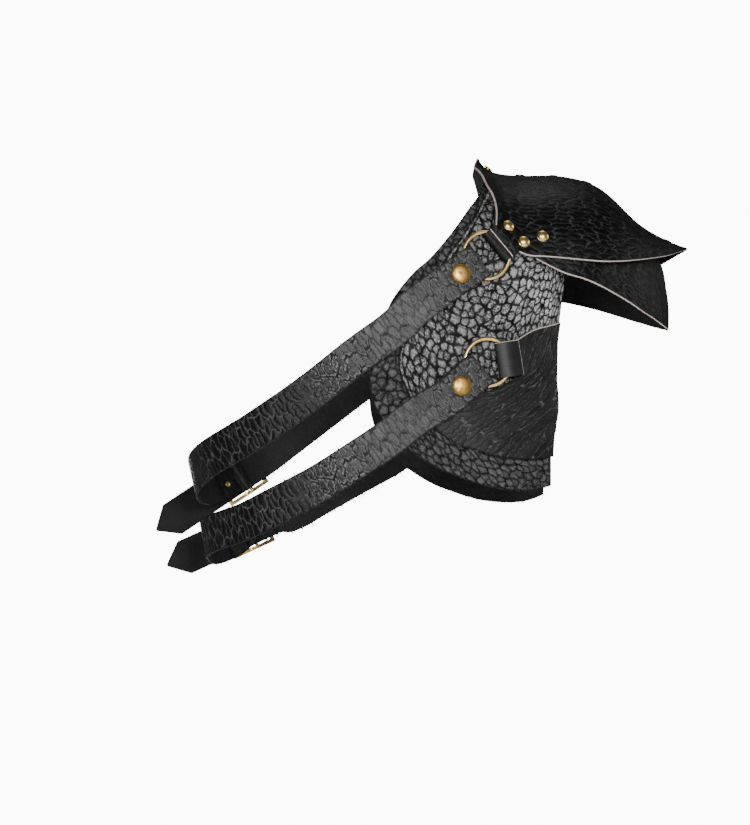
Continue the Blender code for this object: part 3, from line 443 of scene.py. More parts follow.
def saddle(inner_rows, outer_rows, hem_rows, stand, columns):
    """Rows of a sheet over the shoulder, from the back hem over the crest to the front hem."""
    inner = curve([locate(row) for row in inner_rows])
    outer = curve([locate(row) for row in outer_rows])
    hem = curve([locate(row) for row in hem_rows])
    crest_rows, wall_rows, crest_share = 9, 7, 0.37
    shares = [crest_share * k / crest_rows for k in range(crest_rows)]
    shares += [crest_share + (1 - crest_share) * k / wall_rows for k in range(wall_rows + 1)]
    places = [(share, BACK) for share in reversed(shares)] + [(share, FRONT) for share in shares[1:]]
    rows = []
    for share, side in places:
        row = []
        for k in range(columns + 1):
            u = k / columns
            spot = inner(share).lerp(outer(share), u)
            spot += (hem(u) - inner(1).lerp(outer(1), u)) * share**2
            row.append(on_form(spot.x, side * spot.y, stand))
        rows.append(row)
    return rows


def panel_grids(tab):
    """The lower panel on the back, and its tab looped round the lower ring."""
    root, hidden = (curve([locate(row) for row in rows]) for rows in (PANEL_ROOT, PANEL_HIDDEN))
    top, outer, hem = (curve([locate(row) for row in rows]) for rows in (PANEL_TOP, PANEL_OUTER, PANEL_HEM))
    hidden_rows, columns, root_share = 6, 8, 0.30
    root_out = -TAB_FOLD + 0.4 * PLATE_LEATHER
    root_line = tab_row(tab, PANEL_TAB_ROOT, root_out)
    shares = [root_share * k / TAB_COLUMNS for k in range(TAB_COLUMNS)]
    shares += [root_share + (1 - root_share) * k / hidden_rows for k in range(hidden_rows + 1)]
    rows = []
    for k, v in enumerate(shares):
        edge = root(v / root_share) if v <= root_share else hidden((v - root_share) / (1 - root_share))
        lift = root_line[min(k, TAB_COLUMNS)] - on_form(
            *((edge.x, -edge.y) if k <= TAB_COLUMNS else (root(1).x, -root(1).y)), PANEL_STAND)
        lift *= max(1 - max(k - TAB_COLUMNS, 0) / 3, 0)**2
        row = []
        for column in range(columns + 1):
            u = column / columns
            spot = edge.lerp(outer(v), u) + top(u).lerp(hem(u), v)
            spot -= (root(0).lerp(top(1), u)).lerp(hidden(1).lerp(outer(1), u), v)
            row.append(on_form(spot.x, -spot.y, PANEL_STAND) + lift * (1 - u)**4)
        rows.append(row)
    reach = pocket(TAB_WIDTH)
    end = PANEL_TAB_ROOT + 0.5 * PLATE_LEATHER
    profile = [(end, root_out + PLATE_LEATHER + 2 * FOLD_GAP),
               (PAST_WIRE + 1.5 * PLATE_LEATHER, TAB_FOLD * 0.75), (PAST_WIRE - PLATE_LEATHER, TAB_FOLD)]
    profile += fold_round(reach, TAB_FOLD) + [(PAST_WIRE, -TAB_FOLD)]
    loop = [tab_row(tab, along, out) for along, out in profile]
    return [rows, loop + [root_line]]


def ridge_point(row):
    """A ridge point of a wing plate."""
    height = row.rise * WING_RISE if hasattr(row, "rise") else -row.fall * UNDER_FALL
    return Vector((row.reach * WING_REACH, 0, height))


def wing_point(row, fall):
    return Vector((row.reach * WING_REACH, row.depth * WING_DEPTH, -row.fall * fall))


def wing_section(ridge, hem, share):
    """An arch from the ridge to the hem, level at the ridge and upright at the hem."""
    arc = share * math.pi / 2
    return Vector((ridge.x + (hem.x - ridge.x) * share, hem.y * math.sin(arc),
                   ridge.z - (ridge.z - hem.z) * (1 - math.cos(arc))))


def wing_rows(ridges, hems, inner, half_rows, stands):
    """Rows from the back hem over the ridge to the front hem, clear of the form by its stands."""
    columns = len(ridges)
    rows = []
    for number in range(half_rows, -1, -1):
        share = number / half_rows
        shift = inner(share) - wing_section(ridges[0], hems[0], share)
        row = []
        for k in range(columns):
            point = wing_section(ridges[k], hems[k], share) + shift * (1 - k / (columns - 1))**5
            least = stands.inner + (stands.outer - stands.inner) * min(3 * k / columns, 1)
            least += (stands.hem - least) * share**3
            row.append(mirrored(raised(point, least)))
        rows.append(row)
    return rows + [[mirrored(point) for point in row] for row in reversed(rows[:-1])]


def under_layer(rows, cell, share, depth):
    """Points below the back hem's tab columns, part of a cell up from the hem."""
    line = []
    for k in range(TAB_COLUMNS + 1):
        here, up = rows[cell][k], rows[cell + 1][k]
        beside = rows[cell][k + 1] if k == 0 else rows[cell][k - 1]
        normal = facing((beside - here).cross(up - here).normalized(), -FORWARD)
        line.append(here.lerp(up, share) - normal * depth)
    return line


def top_plate_grids(tab):
    """The top plate, and a tab at back and front looped round the upper rings."""
    columns, half_rows, tab_share = 19, 7, 0.14
    ridge = curve([ridge_point(row) for row in TOP_RIDGE])
    shares = [tab_share * k / TAB_COLUMNS for k in range(TAB_COLUMNS + 1)]
    rest = columns - TAB_COLUMNS
    shares += [tab_share + (1 - tab_share) * (k + 1) / rest for k in range(rest)]
    roots = [mirrored(point) for point in tab_row(tab, WING_TAB_ROOT, TAB_FOLD)]
    hem_curve = curve([roots[-1]] + [wing_point(row, WING_FALL) for row in TOP_HEM])
    hems = roots + [hem_curve((k + 1) / rest) for k in range(rest)]
    inner = curve([wing_point(row, WING_FALL) for row in TOP_INNER] + [roots[0]])
    stands = Stands(PANEL_STAND, PANEL_STAND + PLATE_LEATHER + LAYER_GAP, TAB_STAND)
    rows = wing_rows([ridge(share) for share in shares], hems, inner, half_rows, stands)
    profile = [(WING_TAB_ROOT - 2.5 * PLATE_LEATHER, TAB_FOLD)] + fold_round(pocket(TAB_WIDTH), TAB_FOLD)
    profile += [(PAST_WIRE, -TAB_FOLD)]
    loop = [tab_row(tab, along, out) for along, out in profile]
    depth = PLATE_LEATHER + LAYER_GAP
    fold_back = [under_layer(rows, cell, share, depth)
                 for cell, share in ((0, 0.28), (0, 0.65), (0, 0.98), (1, 0.30))]
    back_tab = [rows[0][:TAB_COLUMNS + 1]] + loop + fold_back
    front_tab = [[mirrored(point) for point in row] for row in back_tab]
    return [rows, back_tab, front_tab]


def sheet_spot(rows, row):
    """The point and the outward normal of a wing plate at a row's shares along and round it."""
    last, end = len(rows) - 1, len(rows[0]) - 1

    def place(round_way, along):
        line, column = min(int(round_way * last), last - 1), min(int(along * end), end - 1)
        across = along * end - column
        near = rows[line][column].lerp(rows[line][column + 1], across)
        far = rows[line + 1][column].lerp(rows[line + 1][column + 1], across)
        return near.lerp(far, round_way * last - line)

    step = 0.07
    along_way = place(row.round, row.along + step) - place(row.round, row.along - step)
    round_way = place(row.round + step, row.along) - place(row.round - step, row.along)
    normal = along_way.cross(round_way).normalized()
    return place(row.round, row.along), normal


def under_plate_grids():
    """The lower wing, whose ridge drops to a point."""
    columns, half_rows = 11, 7
    ridge = curve([ridge_point(row) for row in UNDER_RIDGE])
    hem = curve([wing_point(row, UNDER_FALL) for row in UNDER_HEM])
    shares = [k / columns for k in range(columns + 1)]
    ridges = [ridge(share) for share in shares]
    hems = [hem(share) for share in shares]
    start = (ridges[0], hems[0])
    stands = Stands(PANEL_STAND, PANEL_STAND, PANEL_STAND)
    return [wing_rows(ridges, hems, lambda share: wing_section(*start, share), half_rows, stands)]


def strap_line(stations):
    """Rows across a strap from its centres, cross directions and half widths."""
    return [[centre - cross * half, centre + cross * half] for centre, cross, half in stations]


def run_station(run, share, first_cross, last_cross, blend):
    """The centre, cross direction and half width of a strap part of the way along a smooth run."""
    centre = run(share)
    tangent = (run(share + 0.01) - run(share - 0.01)).normalized()
    cross = facing(body_normal(centre).cross(tangent).normalized(), UP)
    start = max(1 - share / blend, 0)
    end = max(1 - (1 - share) / blend, 0)
    cross = (cross * (1 - start) * (1 - end) + first_cross * start + last_cross * end).normalized()
    return (centre, cross, STRAP_WIDTH / 2)


def ring_end(frame):
    """A strap's fold round a ring, from its fold-back's end to its outer side."""
    close = STRAP_FOLD - STRAP_LEATHER - FOLD_GAP
    profile = [(FOLD_BACK, close), (PAST_WIRE + 4.2 * STRAP_LEATHER, close),
               (PAST_WIRE + 1.8 * STRAP_LEATHER, close),
               (PAST_WIRE, -STRAP_FOLD)]
    profile += list(reversed(fold_round(pocket(STRAP_WIDTH), STRAP_FOLD)))
    profile += [(PAST_WIRE, STRAP_FOLD), (FOLD_BACK + 3.2 * STRAP_LEATHER, STRAP_FOLD)]
    return [(in_frame(frame, along, 0, out), frame.across, STRAP_WIDTH / 2) for along, out in profile]


def back_strap(ring, buckle, route):
    """Rows from a back ring round the far side to the buckle's bar, and round that."""
    stations = ring_end(ring)
    points = [stations[-1][0]] + [route_point(row) for row in route]
    points += [in_frame(buckle, 2.4 * STRAP_LEATHER, 0, BAR_FOLD), in_frame(buckle, 0, 0, BAR_FOLD)]
    run = curve(points)
    length = sum((end - start).length for start, end in zip(points, points[1:]))
    ways = [(length - BUCKLE_FOLD_BACK) * (k + 1) / 24 for k in range(24)]
    near_bar = [BUCKLE_FOLD_BACK * share for share in (0.75, 0.5, 0.25)]
    ways += [length - way for way in near_bar]
    ends = (ring.across, buckle.across, FOLD_BACK / length)
    stations += [run_station(run, way / length, *ends) for way in ways]
    stations += [(in_frame(buckle, along, 0, out), buckle.across, STRAP_WIDTH / 2)
                 for along, out in fold_round(0, BAR_FOLD) + [(0.15 * BUCKLE_FOLD_BACK, -BAR_FOLD)]]
    for way in list(reversed(near_bar)) + [BUCKLE_FOLD_BACK]:
        centre, cross, half = run_station(run, 1 - way / length, *ends)
        tangent = (run(1 - way / length + 0.01) - run(1 - way / length - 0.01)).normalized()
        inward = facing(tangent.cross(cross).normalized(), -body_normal(centre))
        stations.append((centre + inward * (STRAP_LEATHER + FOLD_GAP), cross, half))
    return strap_line(stations)


def front_strap(ring, buckle, route, free_end):
    """Rows from a front ring through the buckle to the pointed free end."""
    stations = ring_end(ring)
    out = BAR_FOLD + STRAP_LEATHER + METAL_GAP
    enter = -BUCKLE_WINDOW / 2 - BUCKLE_RAIL
    points = [stations[-1][0]] + [route_point(row) for row in route]
    points += [in_frame(buckle, enter - 4 * STRAP_LEATHER, 0, out), in_frame(buckle, enter, 0, out)]
    run = curve(points)
    length = sum((end - start).length for start, end in zip(points, points[1:]))
    ends = (ring.across, buckle.across, FOLD_BACK / length)
    stations += [run_station(run, (k + 1) / 20, *ends) for k in range(20)]
    half = STRAP_WIDTH / 2
    for along in (0, 0.35 * free_end, free_end - POINT_LENGTH):
        stations.append((in_frame(buckle, along, 0, out), buckle.across, half))
    stations.append((in_frame(buckle, free_end, 0, out), buckle.across, STRAP_LEATHER / 2))
    return strap_line(stations)


# Fine sheets of leather
SHEET_CELL = 0.0018
SADDLE_CELL = 0.0021
STRAP_CELL = 0.0016
WING_PASSES = 60

# Cell size across and down the sheet, its turn in degrees, how far the creases wander, how wide they are
# as a share of a cell, how round a cell is, the size and depth of the fine lines in it, and the height of
# the relief and of the bump
Grain = namedtuple("Grain", "wide high turn wander crease round fine_wide fine_high fine_depth relief bump")
GRAINS = {
    "base_plate": Grain(0.0086, 0.0082, 0, 0.0064, 0.120, 0.18, 0.0036, 0.0032, 0.50, 0.00030, 0.0008),
    "main_plate": Grain(0.0084, 0.0098, 0, 0.0058, 0.150, 0.26, 0.0038, 0.0036, 0.45, 0.00036, 0.0010),
    "top_plate": Grain(0.0165, 0.0050, 0, 0.0060, 0.070, 0.0, 0.0080, 0.0022, 0.0, 0.00010, 0.0003),
    "under_plate": Grain(0.0150, 0.0048, 0, 0.0060, 0.070, 0.0, 0.0080, 0.0022, 0.0, 0.00010, 0.0003),
    "panel": Grain(0.0400, 0.0056, 58, 0.0060, 0.050, 0.0, 0.0120, 0.0018, 0.0, 0.00010, 0.0003),
    "strap": Grain(0.0175, 0.0058, 0, 0.0052, 0.105, 0.05, 0.0230, 0.0026, 0.85, 0.00014, 0.0005),
}
# Greys of the tops and of the creases, near and far along, and of worn places far along, then how unlike
# each other the tops are, their bright specks, which are painted glints, how much of a crease fades, the lip
# turned over inside the edge, and the gloss and roughness of the tops. The grey tops of the saddle plates and
# of a strap near its ring are black leather with a painted sheen; far along a strap the darker tops are
# painted shade and the paler creases painted highlights, and the pale creases of the wing plates are painted
# highlights on the raised borders of their cells
Tone = namedtuple("Tone", "tops creases far_tops far_creases far_plain uneven speckle broken lip gloss rough")
TONES = {
    "base_plate": Tone(0.036, 0.0008, 0.036, 0.0008, 0.036, 0.6, 0.50, 0.3, 0.0, 0.13, 0.44),
    "main_plate": Tone(0.078, 0.0005, 0.078, 0.0005, 0.078, 0.80, 1.00, 0.20, 0.8, 0.12, 0.36),
    "top_plate": Tone(0.0015, 0.0360, 0.0015, 0.0360, 0.0015, 0.3, 0.0, 0.9, 0.0, 0.14, 0.42),
    "under_plate": Tone(0.0020, 0.0320, 0.0020, 0.0320, 0.0020, 0.3, 0.0, 0.9, 0.0, 0.14, 0.42),
    "panel": Tone(0.0105, 0.0640, 0.0105, 0.0640, 0.0105, 0.4, 0.20, 0.8, 0.0, 0.12, 0.42),
    "strap": Tone(0.074, 0.0015, 0.0025, 0.0480, 0.0095, 0.35, 0.25, 0.35, 0.0, 0.15, 0.38),
}
RAW_GRAIN = (0.50, 0.42, 0.39, 1)
RAW_FLESH = (0.40, 0.34, 0.31, 1)
RAW_EDGE_DARK = (0.20, 0.16, 0.15, 1)
RAW_EDGE_PALE = (0.56, 0.48, 0.45, 1)
BRASS = (0.88, 0.64, 0.26, 1), (0.46, 0.28, 0.09, 1), 0.28, 0.20
ANTIQUE_BRASS = (0.60, 0.37, 0.10, 1), (0.12, 0.065, 0.02, 1), 0.31, 0.75

# The painted highlight in the middle of a saddle plate, the pale line on the bend of a wing tab, which is
# crazed leather with a painted highlight, and the painted highlight in a band round a panel tab
HIGHLIGHT_MIDDLE = (0.022, -0.115)
HIGHLIGHT_SIZE = (0.045, 0.048)
BEND_LINE_WAY, BEND_LINE_WIDTH, BEND_LINE_DEPTH = 0.0085, 0.0010, 0.72
TAB_HIGHLIGHT_WAY, TAB_HIGHLIGHT_WIDTH = 0.0185, 0.0042

# Ways along a strap from the end of its fold-back: where its fold ends, where the grain deepens, where it
# flattens towards the buckle and where the painted shade far along begins, each with the length over which it
# does so
FOLDED_TO, FOLDED_FADE = 0.128, 0.024
GRAINED_FROM, GRAINED_FADE = 0.14, 0.10
FLAT_FROM, FLAT_FADE = 0.39, 0.06
DARK_FROM, DARK_FADE = 0.15, 0.14
FREE_END_PLAIN = 0.05

# How deep the grain is near the ring, more at the fold, and least at the buckle and the point
NEAR_WEAR, FOLD_WEAR, FLAT_WEAR, POINT_WEAR = 0.30, 0.40, 0.25, 0.08
# How much painted shade falls on a strap at its fold by the ring
FOLD_DARK = 0.42

# Torn fibres: the longest on a strap and on a plate, and how many on each edge
STRAP_FIBRE = 0.0060
PLATE_FIBRE = 0.0036
UPPER_FIBRES, LOWER_FIBRES, PLATE_FIBRES = 34, 90, 60
THIN_FIBRE, THICK_FIBRE = 0.00045, 0.00075

EYELET_CUT = 0.0040
INSIDE = Vector((0.0, 0.0, -0.16))
STRAP_INSIDE = Vector((MIDDLE_X, 0, -0.25))
SHARES = ("wear", "far", "raw", "painted_highlight")


def refined(grid, cell, counts=None):
    """A grid with smooth extra rows, and how many steps each of its own steps became."""
    steps = np.linalg.norm(np.diff(grid, axis=0), axis=2)
    if counts is None:
        counts = [max(math.ceil(step / cell), 1) for step in steps.max(axis=1)]
    knots = np.concatenate(([0.0], np.cumsum(steps.mean(axis=1))))
    slopes = np.empty_like(grid)
    slopes[1:-1] = (grid[2:] - grid[:-2]) / (knots[2:] - knots[:-2])[:, None, None]
    slopes[0] = (grid[1] - grid[0]) / (knots[1] - knots[0])
    slopes[-1] = (grid[-1] - grid[-2]) / (knots[-1] - knots[-2])
    rows = []
    for k, count in enumerate(counts):
        span = knots[k + 1] - knots[k]
        for step in range(count):
            start, leave, end, reach = hermite(step / count)
            rows.append(grid[k] * start + slopes[k] * span * leave
                        + grid[k + 1] * end + slopes[k + 1] * span * reach)
    rows.append(grid[-1])
    return np.array(rows), counts


def fine_grid(rows, cell, across=None):
    """The refined grid and its step counts down and across."""
    grid, down = refined(np.array(rows, dtype=float), cell)
    turned_grid, across = refined(grid.swapaxes(0, 1), cell, across)
    return turned_grid.swapaxes(0, 1), down, across


def run_lengths(points):
    """How far along a line of points each point is."""
    return np.concatenate(([0.0], np.cumsum(np.linalg.norm(np.diff(points, axis=0), axis=1))))


def surface_ways(grid):
    """How far each point lies across its row and down the middle of the sheet."""
    middle = grid.shape[1] // 2
    ways = np.zeros(grid.shape)
    for number, row in enumerate(grid):
        along = run_lengths(row)
        ways[number, :, 0] = along - along[middle]
    ways[:, :, 1] = run_lengths(grid[:, middle])[:, None]
    return ways


def joined_ways(grid, across, down):
    """The grain coordinates of a grid that carries on from another."""
    ways = np.zeros(grid.shape)
    ways[:, :, 0] = across
    ways[:, :, 1] = down
    return ways


def relaxed(grid):
    """The grid with its inner points eased towards their neighbours."""
    for _ in range(WING_PASSES):
        grid = grid.copy()
        grid[1:-1, 1:-1] = 0.5 * grid[1:-1, 1:-1] + 0.125 * (grid[:-2, 1:-1] + grid[2:, 1:-1]
                                                             + grid[1:-1, :-2] + grid[1:-1, 2:])
    return grid


def bell(value, middle, width):
    """A share that is 1 at the middle and fades over a width."""
    return np.exp(-((value - middle) / width)**2)


def patch(grid, ways, wear=1.0, far=0.0, raw=0.0, painted_highlight=0.0):
    """A grid with its grain coordinates and the shares that its leather changes by."""
    return [grid, ways] + [np.broadcast_to(share, grid.shape[:2]) for share in (wear, far, raw, painted_highlight)]


def sheet_mesh(name, patches, inside, holes=()):
    """One welded surface through patches, its face outward from a point inside."""
    columns = [[] for _ in patches[0]]
    faces = []
    count = 0
    for parts in patches:
        rows, width = parts[0].shape[:2]
        index = count + np.arange(rows * width).reshape(rows, width)
        quads = np.stack([index[:-1, :-1], index[:-1, 1:], index[1:, 1:], index[1:, :-1]], axis=-1)
        faces.append(quads.reshape(-1, 4))
        for column, values in zip(columns, parts):
            column.append(values.reshape(rows * width, -1))
        count += rows * width
    points, *shares = (np.concatenate(column) for column in columns)
    faces = np.concatenate(faces)
    for centre, radius in holes:
        middles = points[faces].mean(axis=1)
        faces = faces[np.linalg.norm(middles - np.array(centre), axis=1) > radius]
    mesh = bpy.data.meshes.new(name)
    mesh.from_pydata(points.tolist(), [], faces.tolist())
    grain = mesh.attributes.new("grain", "FLOAT_VECTOR", "POINT")
    grain.data.foreach_set("vector", shares[0].ravel())
    for word, values in zip(SHARES, shares[1:]):
        mesh.attributes.new(word, "FLOAT", "POINT").data.foreach_set("value", values.ravel())
    build = bmesh.new()
    build.from_mesh(mesh)
    loose = [vert for vert in build.verts if not vert.link_faces]
    bmesh.ops.delete(build, geom=loose, context="VERTS")
    bmesh.ops.remove_doubles(build, verts=build.verts, dist=0.00001)
    bmesh.ops.recalc_face_normals(build, faces=build.faces)
    outward = sum(1 if face.normal.dot(face.calc_center_median() - inside) > 0 else -1
                  for face in build.faces)
    if outward < 0:
        bmesh.ops.reverse_faces(build, faces=build.faces)
    border = [vert.co.copy() for vert in build.verts if vert.is_boundary]
    tree = KDTree(len(border))
    for number, spot in enumerate(border):
        tree.insert(spot, number)
    tree.balance()
    layer = build.verts.layers.float.new("edge")
    for vert in build.verts:
        vert[layer] = tree.find(vert.co)[2]
    build.to_mesh(mesh)
    build.free()
    return mesh


def finished(part):
    """The part with its modifiers made real and its hard edges kept sharp."""
    bpy.context.view_layer.update()
    graph = bpy.context.evaluated_depsgraph_get()
    mesh = bpy.data.meshes.new_from_object(part.evaluated_get(graph), preserve_all_data_layers=True,
                                           depsgraph=graph)
    part.modifiers.clear()
    part.data = mesh
    mesh.name = part.name
    mesh.shade_smooth()
    mesh.set_sharp_from_angle(angle=math.radians(50))
    return part


def link(name, data, *materials):
    """A new object in the scene."""
    part = bpy.data.objects.new(name, data)
    bpy.context.scene.collection.objects.link(part)
    for material in materials:
        data.materials.append(material)
    return part


def new_mesh(name, points, faces):
    mesh = bpy.data.meshes.new(name)
    mesh.from_pydata(points, [], faces)
    return mesh


class Nodes:
    """Makes and joins the nodes of a tree."""

    def __init__(self, tree):
        self.tree = tree

    def put(self, value, socket):
        """Links another socket to this one, or sets its value."""
        if isinstance(value, bpy.types.NodeSocket):
            self.tree.links.new(value, socket)
        else:
            socket.default_value = value

    def add(self, kind, inputs=(), **settings):
        """A node with its settings and inputs."""
        made = self.tree.nodes.new(kind)
        for key, value in settings.items():
            setattr(made, key, value)
        for key, value in dict(inputs).items():
            self.put(value, made.inputs[key])
        return made

    def attribute(self, word, output="Fac"):
        return self.add("ShaderNodeAttribute", attribute_name=word).outputs[output]

    def object_place(self):
        return self.add("ShaderNodeTexCoord").outputs["Object"]

    def math(self, operation, *values):
        return self.add("ShaderNodeMath", enumerate(values), operation=operation).outputs[0]

    def times(self, first, second):
        return self.math("MULTIPLY", first, second)

    def vector(self, operation, *values):
        return self.add("ShaderNodeVectorMath", enumerate(values), operation=operation).outputs[0]

    def scaled(self, vector, amount):
        return self.add("ShaderNodeVectorMath", {0: vector, "Scale": amount}, operation="SCALE").outputs[0]

    def ramp(self, value, low, high, start=0.0, end=1.0):
        """A smooth rise from start to end as the value goes from low to high."""
        inputs = {"Value": value, "From Min": low, "From Max": high, "To Min": start, "To Max": end}
        return self.add("ShaderNodeMapRange", inputs, interpolation_type="SMOOTHSTEP").outputs["Result"]

    def band(self, value, low, rise, fall, high, peak=1.0):
        """The peak between rise and fall, and nothing below low or above high."""
        return self.times(self.ramp(value, low, rise, 0.0, peak), self.ramp(value, fall, high, 1.0, 0.0))

    def noise(self, place, scale, detail=2.0, output="Fac"):
        inputs = {"Vector": place, "Scale": scale, "Detail": detail}
        return self.add("ShaderNodeTexNoise", inputs).outputs[output]

    def mix(self, amount, first, second):
        """A colour between two colours."""
        return self.add("ShaderNodeMix", ((0, amount), (6, first), (7, second)), data_type="RGBA").outputs[2]

    def shade(self, colour, roughness, height, distance, strength, **levels):
        """Sets the shader, with a bump from a height."""
        bump = self.add("ShaderNodeBump", {"Height": height, "Distance": distance, "Strength": strength})
        sockets = self.tree.nodes["Principled BSDF"].inputs
        self.put(colour, sockets["Base Color"])
        self.put(roughness, sockets["Roughness"])
        self.put(bump.outputs["Normal"], sockets["Normal"])
        for key, level in levels.items():
            sockets[LEVELS[key]].default_value = level


LEVELS = {"specular": "Specular IOR Level", "metallic": "Metallic"}


def cell_ways(nodes, grain, look):
    """The grain coordinates, wandering and turned, before they are divided into cells."""
    moved = grain
    for scale, wander in ((160.0, look.wander), (520.0, 0.4 * look.wander)):
        stray = nodes.vector("SUBTRACT", nodes.noise(grain, scale, 1.0, "Color"), (0.5, 0.5, 0.5))
        moved = nodes.vector("ADD", nodes.scaled(stray, wander), moved)
    return nodes.add("ShaderNodeVectorRotate", {"Vector": moved, "Angle": math.radians(look.turn)},
                     rotation_type="Z_AXIS").outputs["Vector"]


def cells(nodes, ways, wide, high, feature, output):
    """A value of the cells of the grain."""
    sized = nodes.vector("MULTIPLY", ways, (1 / wide, 1 / high, 0))
    return nodes.add("ShaderNodeTexVoronoi", {"Vector": sized, "Scale": 1.0, "Randomness": 0.88},
                     voronoi_dimensions="2D", feature=feature).outputs[output]


def rounded_cells(nodes, ways, look):
    """How far a place is from its cell's edge, less at the corners, so that the cell is round."""
    edge = cells(nodes, ways, look.wide, look.high, "DISTANCE_TO_EDGE", "Distance")
    middle = cells(nodes, ways, look.wide, look.high, "F1", "Distance")
    corner = nodes.times(nodes.times(middle, middle), -look.round)
    return nodes.math("ADD", edge, nodes.math("ADD", corner, 0.22 * look.round))


def relief_group(name, look):
    """Geometry nodes that raise the cells of the grain over their creases."""
    tree = bpy.data.node_groups.new(name, "GeometryNodeTree")
    for way in ("INPUT", "OUTPUT"):
        tree.interface.new_socket("Geometry", in_out=way, socket_type="NodeSocketGeometry")
    nodes = Nodes(tree)
    source, result = nodes.add("NodeGroupInput"), nodes.add("NodeGroupOutput")
    grain = nodes.add("GeometryNodeInputNamedAttribute", {"Name": "grain"}, data_type="FLOAT_VECTOR")
    wear = nodes.add("GeometryNodeInputNamedAttribute", {"Name": "wear"}, data_type="FLOAT")
    ways = cell_ways(nodes, grain.outputs["Attribute"], look)
    away = rounded_cells(nodes, ways, look)
    rise = nodes.ramp(away, 0.0, 0.30, -0.5 * look.relief, 0.5 * look.relief)
    rise = nodes.times(rise, wear.outputs["Attribute"])
    offset = nodes.scaled(nodes.add("GeometryNodeInputNormal").outputs["Normal"], rise)
    place = nodes.add("GeometryNodeSetPosition", {"Geometry": source.outputs[0], "Offset": offset})
    nodes.put(place.outputs["Geometry"], result.inputs[0])
    return tree


def blank(name):
    """A new material and its nodes."""
    material = bpy.data.materials.new(name)
    material.use_nodes = True
    return material, Nodes(material.node_tree)


def grey(value):
    return (value, value, value, 1.0)


